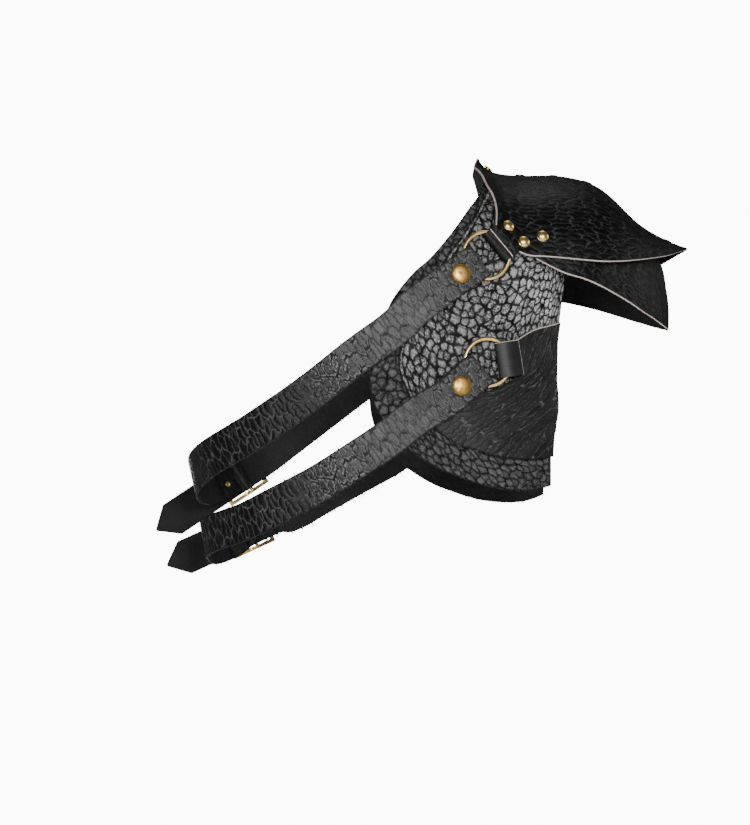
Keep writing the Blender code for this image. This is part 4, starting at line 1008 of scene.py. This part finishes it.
def grain_leather(name, look, tone):
    """The grain side: raised cells with speckled tops between soft creases, and a raw edge where cut. The
    specks are painted glints.
    """
    material, nodes = blank(name)
    grain = nodes.attribute("grain", "Vector")
    edge = nodes.attribute("edge")
    wear, far, raw, painted_highlight = (nodes.attribute(word) for word in SHARES)
    near = nodes.math("SUBTRACT", 1.0, far)
    ways = cell_ways(nodes, grain, look)
    away = rounded_cells(nodes, ways, look)
    chance = cells(nodes, ways, look.wide, look.high, "F1", "Color")
    chance = nodes.add("ShaderNodeSeparateColor", {0: chance}).outputs[0]
    soft, fine, broad = nodes.noise(grain, 380.0, 1.0), nodes.noise(grain, 480.0), nodes.noise(grain, 24.0)
    width = nodes.math("MULTIPLY_ADD", soft, 1.8 * look.crease, 0.1 * look.crease)
    width = nodes.times(width, nodes.math("MULTIPLY_ADD", far, -0.35, 1.0))
    top = nodes.ramp(away, nodes.times(width, 0.3), width)
    fading = nodes.ramp(nodes.noise(grain, 75.0, 1.0), 0.42, 0.66, 0.0, tone.broken)
    top = nodes.math("MAXIMUM", top, fading)
    dome = nodes.ramp(away, 0.0, 0.38)

    # Far along a strap, and at its fold by the ring, the tops are darker: painted shade
    beyond = nodes.ramp(far, 0.0, 0.70)
    dull, light = (nodes.mix(beyond, grey(tone.tops * share), grey(tone.far_tops * share))
                   for share in (1 - 0.6 * tone.uneven, 1 + 1.5 * tone.uneven))
    # Each cell's top is a grey that differs at random from cell to cell, painted lighter at its middle than
    # towards its creases: painted shading of the round cell
    shine = nodes.times(nodes.ramp(chance, 0.1, 1.0), nodes.ramp(dome, 0.2, 1.0, 0.35, 1.0))
    colour = nodes.mix(shine, dull, light)
    # Lighter in the painted highlight
    colour = nodes.mix(painted_highlight, colour, nodes.scaled(colour, 2.6))
    # Bright specks on the tops are painted glints, brighter in the painted highlight
    if tone.speckle:
        speck = nodes.times(nodes.ramp(fine, 0.47, 0.58), nodes.ramp(dome, 0.1, 0.8))
        speck = nodes.times(speck, nodes.ramp(broad, 0.35, 0.60, 0.35 * tone.speckle, tone.speckle))
        bright = nodes.mix(painted_highlight, grey(tone.tops * 5), grey(0.95))
        colour = nodes.mix(nodes.times(speck, near), colour, bright)
    colour = nodes.mix(nodes.ramp(broad, 0.40, 0.70, 0.0, 0.55), colour, grey(tone.far_tops * 0.5))
    # The pale creases of the wing plates, and those far along a strap, are painted highlights
    crease = nodes.mix(nodes.ramp(far, 0.60, 1.0), grey(tone.creases), grey(tone.far_creases))
    colour = nodes.mix(top, crease, colour)
    # A painted highlight in a line beside each crease, where a strap is shaded
    beside = nodes.band(away, 0.5 * look.crease, look.crease, 1.3 * look.crease, 2.4 * look.crease)
    beside = nodes.times(beside, nodes.ramp(soft, 0.36, 0.52))
    beside = nodes.times(beside, nodes.band(far, 0.12, 0.5, 0.60, 0.95))
    colour = nodes.mix(beside, colour, grey(0.13))
    plain = nodes.mix(far, grey(tone.tops * 0.75), grey(tone.far_plain))
    plain = nodes.mix(soft, nodes.scaled(plain, 0.6), nodes.scaled(plain, 1.4))
    colour = nodes.mix(wear, plain, colour)
    if look.fine_depth:
        close = cells(nodes, ways, look.fine_wide, look.fine_high, "DISTANCE_TO_EDGE", "Distance")
        line = nodes.times(nodes.ramp(close, 0.0, 0.16, look.fine_depth, 0.0), near)
        line = nodes.times(line, nodes.ramp(soft, 0.35, 0.6, 0.25, 1.0))
        colour = nodes.mix(line, colour, grey(tone.creases))
    if tone.lip:
        turned_over = nodes.band(edge, 0.0016, 0.0024, 0.0028, 0.0034, tone.lip)
        colour = nodes.mix(nodes.times(turned_over, nodes.ramp(fine, 0.45, 0.6)), colour, grey(0.30))
        pressed = nodes.band(edge, 0.0032, 0.0040, 0.0046, 0.0056, tone.lip)
        colour = nodes.mix(pressed, colour, grey(tone.creases))
    colour = nodes.mix(nodes.ramp(edge, 0.0004, 0.0022, 0.95, 0.0), colour, grey(0.003))
    cut = nodes.math("MULTIPLY_ADD", fine, 0.5, raw)
    colour = nodes.mix(nodes.ramp(cut, 0.62, 0.80), colour, RAW_GRAIN)

    roughness = nodes.math("MULTIPLY_ADD", fine, 0.22, tone.rough - 0.11)
    roughness = nodes.math("ADD", roughness, nodes.ramp(away, 0.0, look.crease, 0.30, 0.0))
    height = nodes.math("MULTIPLY_ADD", fine, 0.30, nodes.times(dome, wear))
    nodes.shade(colour, roughness, height, look.bump, 0.8, specular=tone.gloss)
    return material


def flesh_leather(name):
    """The flesh side: near black with a short nap, paler in a painted highlight and at a raw edge."""
    material, nodes = blank(name)
    grain, painted_highlight, raw = nodes.attribute("grain", "Vector"), nodes.attribute("painted_highlight"), nodes.attribute("raw")
    nap = nodes.noise(grain, 700.0, 4.0)
    colour = nodes.mix(nodes.times(nap, nodes.noise(grain, 40.0)), grey(0.006), grey(0.022))
    # Paler in the painted highlight
    colour = nodes.mix(nodes.times(painted_highlight, nodes.ramp(nap, 0.3, 0.7, 0.5, 1.0)), colour, grey(0.075))
    cut = nodes.math("MULTIPLY_ADD", nap, 0.5, raw)
    colour = nodes.mix(nodes.ramp(cut, 0.80, 0.95), colour, RAW_FLESH)
    nodes.shade(colour, nodes.math("MULTIPLY_ADD", nap, 0.2, 0.55), nap, 0.0002, 0.6, specular=0.15)
    return material


def cut_edge(name):
    """A cut edge, mottled, dark where it is stained and pale where it is raw."""
    material, nodes = blank(name)
    fibre = nodes.noise(nodes.object_place(), 700.0, 4.0)
    mottle = nodes.ramp(fibre, 0.35, 0.65)
    stained = nodes.mix(mottle, grey(0.004), grey(0.014))
    pale = nodes.mix(mottle, RAW_EDGE_DARK, RAW_EDGE_PALE)
    colour = nodes.mix(nodes.ramp(nodes.attribute("raw"), 0.3, 0.6), stained, pale)
    nodes.shade(colour, 0.8, fibre, 0.0003, 0.8, specular=0.25)
    return material


def metal(name, bright, dark, roughness, tarnish):
    """Brass, tarnished in soft patches, in specks and towards the rim of a head."""
    material, nodes = blank(name)
    place = nodes.object_place()
    specks = nodes.noise(place, 900.0, 3.0)
    stain = nodes.times(nodes.ramp(nodes.noise(place, 240.0, 4.0), 0.36, 0.66), tarnish)
    stain = nodes.math("MAXIMUM", stain, nodes.ramp(specks, 0.58, 0.70, 0.0, tarnish))
    worn = nodes.math("MULTIPLY_ADD", specks, 0.6, nodes.attribute("rim"))
    stain = nodes.math("MAXIMUM", stain, nodes.ramp(worn, 0.85, 1.30, 0.0, 1.3 * tarnish))
    nodes.shade(nodes.mix(stain, bright, dark), nodes.math("MULTIPLY_ADD", stain, 0.25, roughness),
                specks, 0.00005, max(tarnish - 0.2, 0.0), metallic=1.0)
    return material


def placed(part, name=None):
    """Hides the CAD node that a part stands for, if one is named, and attaches the part to the root body."""
    if name:
        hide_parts(name)
    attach(part, "root")


def leather_piece(name, patches, rim, kind=None, holes=()):
    """A sheet of leather through patches, with its grain, its flesh side and its cut edge."""
    strap = kind == "strap"
    mesh = sheet_mesh(name, patches, STRAP_INSIDE if strap else INSIDE, holes)
    look, tone = GRAINS[kind or name], TONES[kind or name]
    part = link(name + "_leather", mesh, grain_leather(name + "_grain", look, tone),
                flesh_leather(name + "_flesh"), rim)
    grain = part.modifiers.new("grain", "NODES")
    grain.node_group = relief_group(name + "_relief", look)
    solid = part.modifiers.new("leather", "SOLIDIFY")
    solid.thickness = STRAP_LEATHER if strap else PLATE_LEATHER
    solid.offset = 0.0
    solid.material_offset = 1
    solid.material_offset_rim = 2
    placed(finished(part), name)


def fringe(name, edges, longest, seed, material):
    """Torn fibres that stand out from edges: for each a line of points, outward directions and a count."""
    draw = random.Random(seed)
    points, faces = [], []
    for line, outs, count in edges:
        for _ in range(count):
            k = draw.randrange(len(line) - 1)
            foot = Vector(line[k]).lerp(Vector(line[k + 1]), draw.random())
            along = (Vector(line[k + 1]) - Vector(line[k])).normalized()
            out = Vector(outs[k]).normalized()
            side = along.cross(out)
            length = longest * (0.25 + 0.75 * draw.random()**2)
            lean = along * draw.uniform(-0.7, 0.7) + side * draw.uniform(-0.35, 0.35)
            tip = foot + (out + lean).normalized() * length
            bend = foot.lerp(tip, 0.55) + along * draw.uniform(-0.12, 0.12) * length
            width = draw.uniform(THIN_FIBRE, THICK_FIBRE)
            foot = foot + side * draw.uniform(-0.0008, 0.0008) - out * 0.0004
            start = len(points)
            for middle, size in ((foot, width), (bend, 0.6 * width)):
                for turn in range(3):
                    angle = 2 * math.pi * turn / 3
                    points.append(middle + (along * math.cos(angle) + side * math.sin(angle)) * size)
            points.append(tip)
            faces.append((start + 2, start + 1, start))
            for turn in range(3):
                near, far = start + turn, start + (turn + 1) % 3
                faces.append((near, far, far + 3, near + 3))
                faces.append((near + 3, far + 3, start + 6))
    part = link(name, new_mesh(name, points, faces), material)
    part.data.shade_smooth()
    placed(part)


def lathe(name, profile, closed, centre, axis, material):
    """A turned piece from its outer profile of radii and heights."""
    segments = 48
    build = bmesh.new()
    layer = build.verts.layers.float.new("rim")
    turn = axis.to_track_quat("Z", "Y")
    widest = max(radius for radius, height in profile)
    rings_made = []
    for radius, height in profile:
        count = 1 if radius < 0.000001 else segments
        angles = [2 * math.pi * k / segments for k in range(count)]
        rings_made.append([build.verts.new(centre + turn @ Vector((
            radius * math.cos(angle), radius * math.sin(angle), height))) for angle in angles])
        for vert in rings_made[-1]:
            vert[layer] = radius / widest
    pairs = list(zip(rings_made, rings_made[1:]))
    if closed:
        pairs.append((rings_made[-1], rings_made[0]))
    for first, second in pairs:
        for k in range(segments):
            corners = [first[k % len(first)], first[(k + 1) % len(first)], second[(k + 1) % len(second)],
                       second[k % len(second)]]
            build.faces.new(list(dict.fromkeys(corners)))
    bmesh.ops.recalc_face_normals(build, faces=build.faces)
    mesh = bpy.data.meshes.new(name)
    build.to_mesh(mesh)
    build.free()
    part = link(name, mesh, material)
    mesh.shade_smooth()
    mesh.set_sharp_from_angle(angle=math.radians(45))
    return part


def span(cad, centre, axis):
    """The lowest and highest place of a CAD node along an axis through a centre."""
    ways = [(vert.co - centre).dot(axis) for vert in cad.data.vertices]
    return min(ways), max(ways)


def arc_profile(radius, low, high, steps, exponent=2.0):
    """A crown from its middle to its rim."""
    shares = [math.sin(math.pi / 2 * k / steps) for k in range(steps + 1)]
    return [(radius * share, low + (high - low) * (1 - share**exponent)**(1 / exponent)) for share in shares]


def shoulder(radius, seat, rise, *steps):
    """Places down the side of a head, as shares of its radius and of its rise over its seat."""
    return [(share * radius, seat + height * rise) for share, height in steps]


def cap_crown(radius, seat, high):
    rise = high - seat
    return arc_profile(0.90 * radius, seat + 0.46 * rise, high, 10, 2.2) + shoulder(
        radius, seat, rise, (0.93, 0.48), (0.98, 0.40), (1, 0.24), (0.98, 0.06), (0.94, 0))


def dome_crown(radius, seat, high):
    rise = high - seat
    return arc_profile(0.95 * radius, seat + 0.10 * rise, high, 12) + shoulder(
        radius, seat, rise, (1, 0.05), (0.98, 0))


def flat_crown(radius, seat, high):
    return arc_profile(radius, seat, high, 8, 3.5)


def riveted(name, cad, centre, axis, diameter, height, crown, material):
    """A rivet with a crowned head, its post and its tail."""
    low, high = span(cad, centre, axis)
    seat = high - height
    post = POST_DIAMETER / 2
    profile = crown(diameter / 2, seat, high) + [(post, seat), (post, low + TAIL_HEIGHT)]
    profile += shoulder(TAIL_DIAMETER / 2, low, TAIL_HEIGHT, (0.9, 1), (1, 0.7), (1, 0.2), (0.85, 0), (0, 0))
    placed(lathe(name + "_turned", profile, False, centre, axis, material), name)


def ring_piece(name, frame, material):
    """A wire ring."""
    around, about = 96, 16
    points = []
    for k in range(around):
        angle = 2 * math.pi * k / around
        out = frame.along * math.cos(angle) + frame.across * math.sin(angle)
        for m in range(about):
            turn = 2 * math.pi * m / about
            points.append(frame.centre + out * (RING_RADIUS + RING_WIRE / 2 * math.cos(turn))
                          + frame.normal * (RING_WIRE / 2 * math.sin(turn)))
    faces = [(k * about + m, (k + 1) % around * about + m, (k + 1) % around * about + (m + 1) % about,
              k * about + (m + 1) % about) for k in range(around) for m in range(about)]
    part = link(name + "_wire", new_mesh(name, points, faces), material)
    part.data.shade_smooth()
    placed(part, name)


def buckle_piece(name, cad, material):
    """The buckle with rounded edges."""
    mesh = cad.data.copy()
    mesh.materials.clear()
    part = link(name + "_cast", mesh, material)
    build = bmesh.new()
    build.from_mesh(mesh)
    bmesh.ops.remove_doubles(build, verts=build.verts, dist=0.00002)
    bmesh.ops.dissolve_limit(build, angle_limit=math.radians(3), verts=build.verts, edges=build.edges)
    build.to_mesh(mesh)
    build.free()
    soft = part.modifiers.new("soft", "BEVEL")
    soft.width = 0.0006
    soft.segments = 3
    soft.limit_method = "ANGLE"
    soft.angle_limit = math.radians(50)
    placed(finished(part), name)


def eyelet_piece(name, cad, centre, axis, material):
    """A rolled eyelet."""
    low, high = span(cad, centre, axis)
    bore, flange = EYELET_BORE / 2, EYELET_DIAMETER / 2
    barrel = bore + EYELET_WALL
    middle, half = (bore + flange) / 2, (flange - bore) / 2
    turns = [math.pi * k / 10 for k in range(11)]
    profile = [(middle - half * math.cos(turn), high - EYELET_FLANGE * (1 - math.sin(turn)))
               for turn in turns]
    profile += [(barrel, high - EYELET_FLANGE), (barrel, low + EYELET_FLANGE)]
    profile += shoulder(flange, low, EYELET_FLANGE, (0.8, 1), (0.84, 0.5), (0.8, 0)) + [(bore, low)]
    placed(lathe(name + "_rolled", profile, True, centre, axis, material), name)


def saddle_piece(name, rows, rim, narrowing=0.0):
    """A saddle plate, its cells narrower towards its outer edge."""
    grid, _, _ = fine_grid(rows, SADDLE_CELL)
    ways = surface_ways(grid)
    ways[:, :, 0] += narrowing * np.maximum(ways[:, :, 0], 0)**2
    # A painted highlight in the middle of the plate
    painted_highlight = (bell(grid[:, :, 0], HIGHLIGHT_MIDDLE[0], HIGHLIGHT_SIZE[0])
              * bell(grid[:, :, 2], HIGHLIGHT_MIDDLE[1], HIGHLIGHT_SIZE[1]))
    leather_piece(name, [patch(grid, ways, painted_highlight=painted_highlight)], rim)
    return grid


def wing_piece(grids, rim, holes):
    """The top plate and its two tabs, raw at the hem and at the inner edge."""
    main, back, front = grids
    grid, _, across = fine_grid(main, SHEET_CELL)
    grid = relaxed(grid)
    ways = surface_ways(grid)
    width = sum(across[:TAB_COLUMNS]) + 1
    raw = np.zeros(grid.shape[:2])
    raw[:, 0] = 1.0
    raw[[0, -1], width:] = 1.0
    patches = [patch(grid, ways, raw=raw)]
    for rows, shared, way, sign in ((back, grid[0], ways[0], -1), (front, grid[-1], ways[-1], 1)):
        tab, _, _ = fine_grid(rows, SHEET_CELL, across[:TAB_COLUMNS])
        tab[0] = shared[:width]
        lengths = run_lengths(tab[:, width // 2])[:, None]
        tab_ways = joined_ways(tab, way[:width, 0], way[0, 1] + sign * lengths)
        wear = np.clip(1 - lengths / 0.02, 0.25, 1)
        # A pale line on the tab's bend: crazed leather with a painted highlight
        bend_line = BEND_LINE_DEPTH * bell(lengths, BEND_LINE_WAY, BEND_LINE_WIDTH)
        patches.append(patch(tab, tab_ways, wear, raw=bend_line))
    leather_piece("top_plate", patches, rim, holes=holes)


def panel_piece(name, grids, mirror, rim):
    """A lower panel and its tab, raw at the top edge and at the tab's end."""
    rows, loop = grids
    grid, down, _ = fine_grid(rows, SHEET_CELL)
    ways = surface_ways(grid)
    height = sum(down[:TAB_COLUMNS]) + 1
    tab, _, _ = fine_grid(loop, SHEET_CELL, down[:TAB_COLUMNS])
    tab[-1] = grid[:height, 0]
    lengths = run_lengths(tab[:, height // 2])[:, None]
    tab_ways = joined_ways(tab, ways[:height, 0, 0] - (lengths[-1] - lengths), ways[:height, 0, 1])
    wear = np.clip(0.25 + (lengths - lengths[-1] + 0.01) / 0.02, 0.25, 1)
    # A painted highlight in a band across the tab
    painted_highlight = bell(lengths, TAB_HIGHLIGHT_WAY, TAB_HIGHLIGHT_WIDTH)
    grid, tab = grid * (1, mirror, 1), tab * (1, mirror, 1)
    raw, tab_raw = np.zeros(grid.shape[:2]), np.zeros(tab.shape[:2])
    raw[0] = 1.0
    tab_raw[:, 0] = 1.0
    tab_raw[0] = 0.8
    leather_piece(name, [patch(grid, ways, raw=raw), patch(tab, tab_ways, wear, raw=tab_raw, painted_highlight=painted_highlight)],
                  rim, "panel")


def under_piece(rim):
    """The under plate, raw at its hem."""
    grid = relaxed(fine_grid(under_plate_grids()[0], SHEET_CELL)[0])
    raw = np.zeros(grid.shape[:2])
    raw[[0, -1]] = 1.0
    leather_piece("under_plate", [patch(grid, surface_ways(grid), raw=raw)], rim)


def strap_piece(name, rows, pointed, rim, seed):
    """A strap, with painted shade at its fold, pale with a painted sheen and smooth near the ring, and dark
    and creased far along, where the dark is painted shade and the pale creases are painted highlights.
    """
    grid, _, across = fine_grid(rows[:-1] if pointed else rows, STRAP_CELL)
    ways = surface_ways(grid)
    along = ways[:, 0, 1]
    folded = np.clip((FOLDED_TO - along) / FOLDED_FADE, 0, 1)
    wear = np.clip(NEAR_WEAR + (along - GRAINED_FROM) / GRAINED_FADE, NEAR_WEAR, 1.0) + FOLD_WEAR * folded
    wear *= np.clip(1 - (along - FLAT_FROM) / FLAT_FADE, FLAT_WEAR, 1.0)
    # The share of painted shade on the tops and of painted highlights on the creases: far along, where the
    # strap turns away from the lamps, and at its fold by the ring
    far = np.maximum(np.clip((along - DARK_FROM) / DARK_FADE, 0, 1), FOLD_DARK * folded)
    if pointed:
        wear *= np.clip((along[-1] - FREE_END_PLAIN - along) / FREE_END_PLAIN, POINT_WEAR, 1.0)
    patches = [patch(grid, ways, wear[:, None], far[:, None])]
    if pointed:
        tip, _, _ = fine_grid(rows[-2:], STRAP_CELL, across)
        tip[0] = grid[-1]
        lengths = run_lengths(tip[:, tip.shape[1] // 2])[:, None]
        patches.append(patch(tip, joined_ways(tip, ways[-1, :, 0], along[-1] + lengths), POINT_WEAR, 1.0))
    leather_piece(name, patches, rim, "strap")
    first, last = np.searchsorted(along, (0.10, along[-1] - (0.09 if pointed else 0.05)))
    span_rows = grid[first:last]
    cross = span_rows[:, -1] - span_rows[:, 0]
    upper, lower = sorted(((span_rows[:, 0], -cross), (span_rows[:, -1], cross)),
                          key=lambda side: -side[0][:, 2].mean())
    fringe("fray_" + name, [upper + (UPPER_FIBRES,), lower + (LOWER_FIBRES,)], STRAP_FIBRE, seed, rim)


# Lamps: the place, the width and the power in watts of each
LAMPS = {
    "back_left": ((-1.00, -3.2, 0.10), 0.8, 60), "back_right": ((0.60, -3.2, 0.10), 0.8, 72),
    "front_left": ((0.80, 3.2, 0.30), 0.8, 55), "front_right": ((-1.00, 3.2, 0.30), 0.8, 55),
    "side": ((3.0, 0.3, 0.5), 1.0, 20), "far_side": ((-3.2, 0.4, 0.5), 1.0, 20),
    "overhead": ((0.1, 0.6, 2.8), 1.2, 15), "floor_fill": ((-0.1, 0.0, -0.62), 0.7, 14),
}
LAMP_TARGET = Vector((-0.08, 0, -0.16))
ROOM_LIGHT = 0.08
BACKDROP_LIGHT = 11.0
CAMERA_PLACE = (-0.1595, -3.0, -0.5287)
CAMERA_TILT = 95.8
CAMERA_LENS = 124.7
FLOOR_HALF = 2.5
FLOOR_HEIGHT = -1.0


def place_lights():
    world = bpy.data.worlds.new("studio")
    bpy.context.scene.world = world
    world.use_nodes = True
    nodes = Nodes(world.node_tree)
    sockets = world.node_tree.nodes["Background"].inputs
    nodes.put((1, 1, 1, 1), sockets["Color"])
    seen = nodes.add("ShaderNodeLightPath").outputs["Is Camera Ray"]
    nodes.put(nodes.ramp(seen, 0.0, 1.0, ROOM_LIGHT, BACKDROP_LIGHT), sockets["Strength"])
    for name, (place, size, watts) in LAMPS.items():
        lamp = bpy.data.lights.new(name, "AREA")
        lamp.shape = "SQUARE"
        lamp.size = size
        lamp.energy = watts
        lamp_object = link(name, lamp)
        lamp_object.location = place
        if name != "floor_fill":
            lamp_object.rotation_euler = (LAMP_TARGET - Vector(place)).to_track_quat("-Z", "Y").to_euler()


def place_camera():
    camera = bpy.data.cameras.new("camera")
    camera.sensor_fit = "VERTICAL"
    camera.sensor_height = 36.0
    camera.lens = CAMERA_LENS
    camera.clip_end = 200.0
    camera_object = link("camera", camera)
    camera_object.location = CAMERA_PLACE
    camera_object.rotation_euler = (math.radians(CAMERA_TILT), 0, 0)
    bpy.context.scene.camera = camera_object


def place_floor():
    signs = (-1, -1), (1, -1), (1, 1), (-1, 1)
    corners = [(x * FLOOR_HALF, y * FLOOR_HALF, FLOOR_HEIGHT) for x, y in signs]
    material, nodes = blank("floor")
    cloud = nodes.add("ShaderNodeTexNoise", {"Vector": nodes.object_place(), "Scale": 1.5}).outputs["Fac"]
    sockets = material.node_tree.nodes["Principled BSDF"].inputs
    nodes.put(nodes.mix(cloud, grey(0.80), grey(0.84)), sockets["Base Color"])
    nodes.put(0.9, sockets["Roughness"])
    link("floor", new_mesh("floor", corners, [(0, 1, 2, 3)]), material)


def main():
    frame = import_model()
    nodes = frame["nodes"]
    place_camera()
    place_lights()
    place_floor()

    rim = cut_edge("cut_leather")
    brass = metal("brass", *BRASS)
    antique = metal("antique_brass", *ANTIQUE_BRASS)

    grid = saddle_piece("base_plate", saddle(BASE_INNER, BASE_OUTER, BASE_HEM, BASE_STAND, 8), rim)
    hems = [(grid[0], grid[0] - grid[3], PLATE_FIBRES), (grid[-1], grid[-1] - grid[-4], PLATE_FIBRES)]
    fringe("fray_base_plate", hems, PLATE_FIBRE, 5, rim)
    saddle_piece("main_plate", saddle(MAIN_INNER, MAIN_OUTER, MAIN_HEM, MAIN_STAND, 7), rim, 6.0)

    rings = {row.name: ring_frame(row) for row in RINGS}
    buckles = {row.name: buckle_frame(row) for row in BUCKLES}
    free_ends = {row.name: row.free_end for row in BUCKLES}
    panel = panel_grids(sloped(rings["lower"], TAB_SLOPES["lower"], 1))
    panel_piece("lower_panel_back", panel, 1, rim)
    panel_piece("lower_panel_front", panel, -1, rim)

    top = top_plate_grids(sloped(rings["upper"], TAB_SLOPES["upper"], 1))
    holes = []
    for number, row in enumerate(EYELETS):
        centre, axis = sheet_spot(top[0], row)
        name = "eyelet_%d" % (number + 1)
        eyelet_piece(name, nodes[name], centre, axis, antique)
        holes.append((centre, EYELET_CUT))
    wing_piece(top, rim, holes)
    under_piece(rim)
    for row in DOMES:
        seat, lean = sheet_spot(top[0], row)
        for word, centre, axis in (("back", seat, lean), ("front", mirrored(seat), mirrored(lean))):
            name = "dome_" + row.name + "_" + word
            riveted(name, nodes[name], centre, axis, DOME_DIAMETER, DOME_HEIGHT, dome_crown, brass)

    for level in ("upper", "lower"):
        leaving = sloped(rings[level], STRAP_SLOPES[level], -1)
        for word, ring, strap in (("back", rings[level], leaving),
                                  ("front", mirrored_frame(rings[level]), mirrored_frame(leaving))):
            ring_piece("ring_" + level + "_" + word, ring, brass)
            name = "cap_rivet_" + level + "_" + word
            centre = in_frame(strap, CAP_REACHES[level], 0, 0)
            riveted(name, nodes[name], centre, strap.normal, CAP_DIAMETER, CAP_HEIGHT, cap_crown, antique)
        rows = back_strap(leaving, buckles[level], BACK_ROUTES[level])
        strap_piece("strap_" + level + "_back", rows, False, rim, 3)
        rows = front_strap(mirrored_frame(leaving), buckles[level], FRONT_ROUTES[level], free_ends[level])
        strap_piece("strap_" + level + "_front", rows, True, rim, 4)
        name = "buckle_" + level
        buckle_piece(name, nodes[name], brass)
        name = "buckle_rivet_" + level
        spot = in_frame(buckles[level], 0.7 * BUCKLE_FOLD_BACK, 0, 0)
        riveted(name, nodes[name], spot, body_normal(spot), FLAT_HEAD_DIAMETER, FLAT_HEAD_HEIGHT, flat_crown,
                brass)

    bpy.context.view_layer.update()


main()
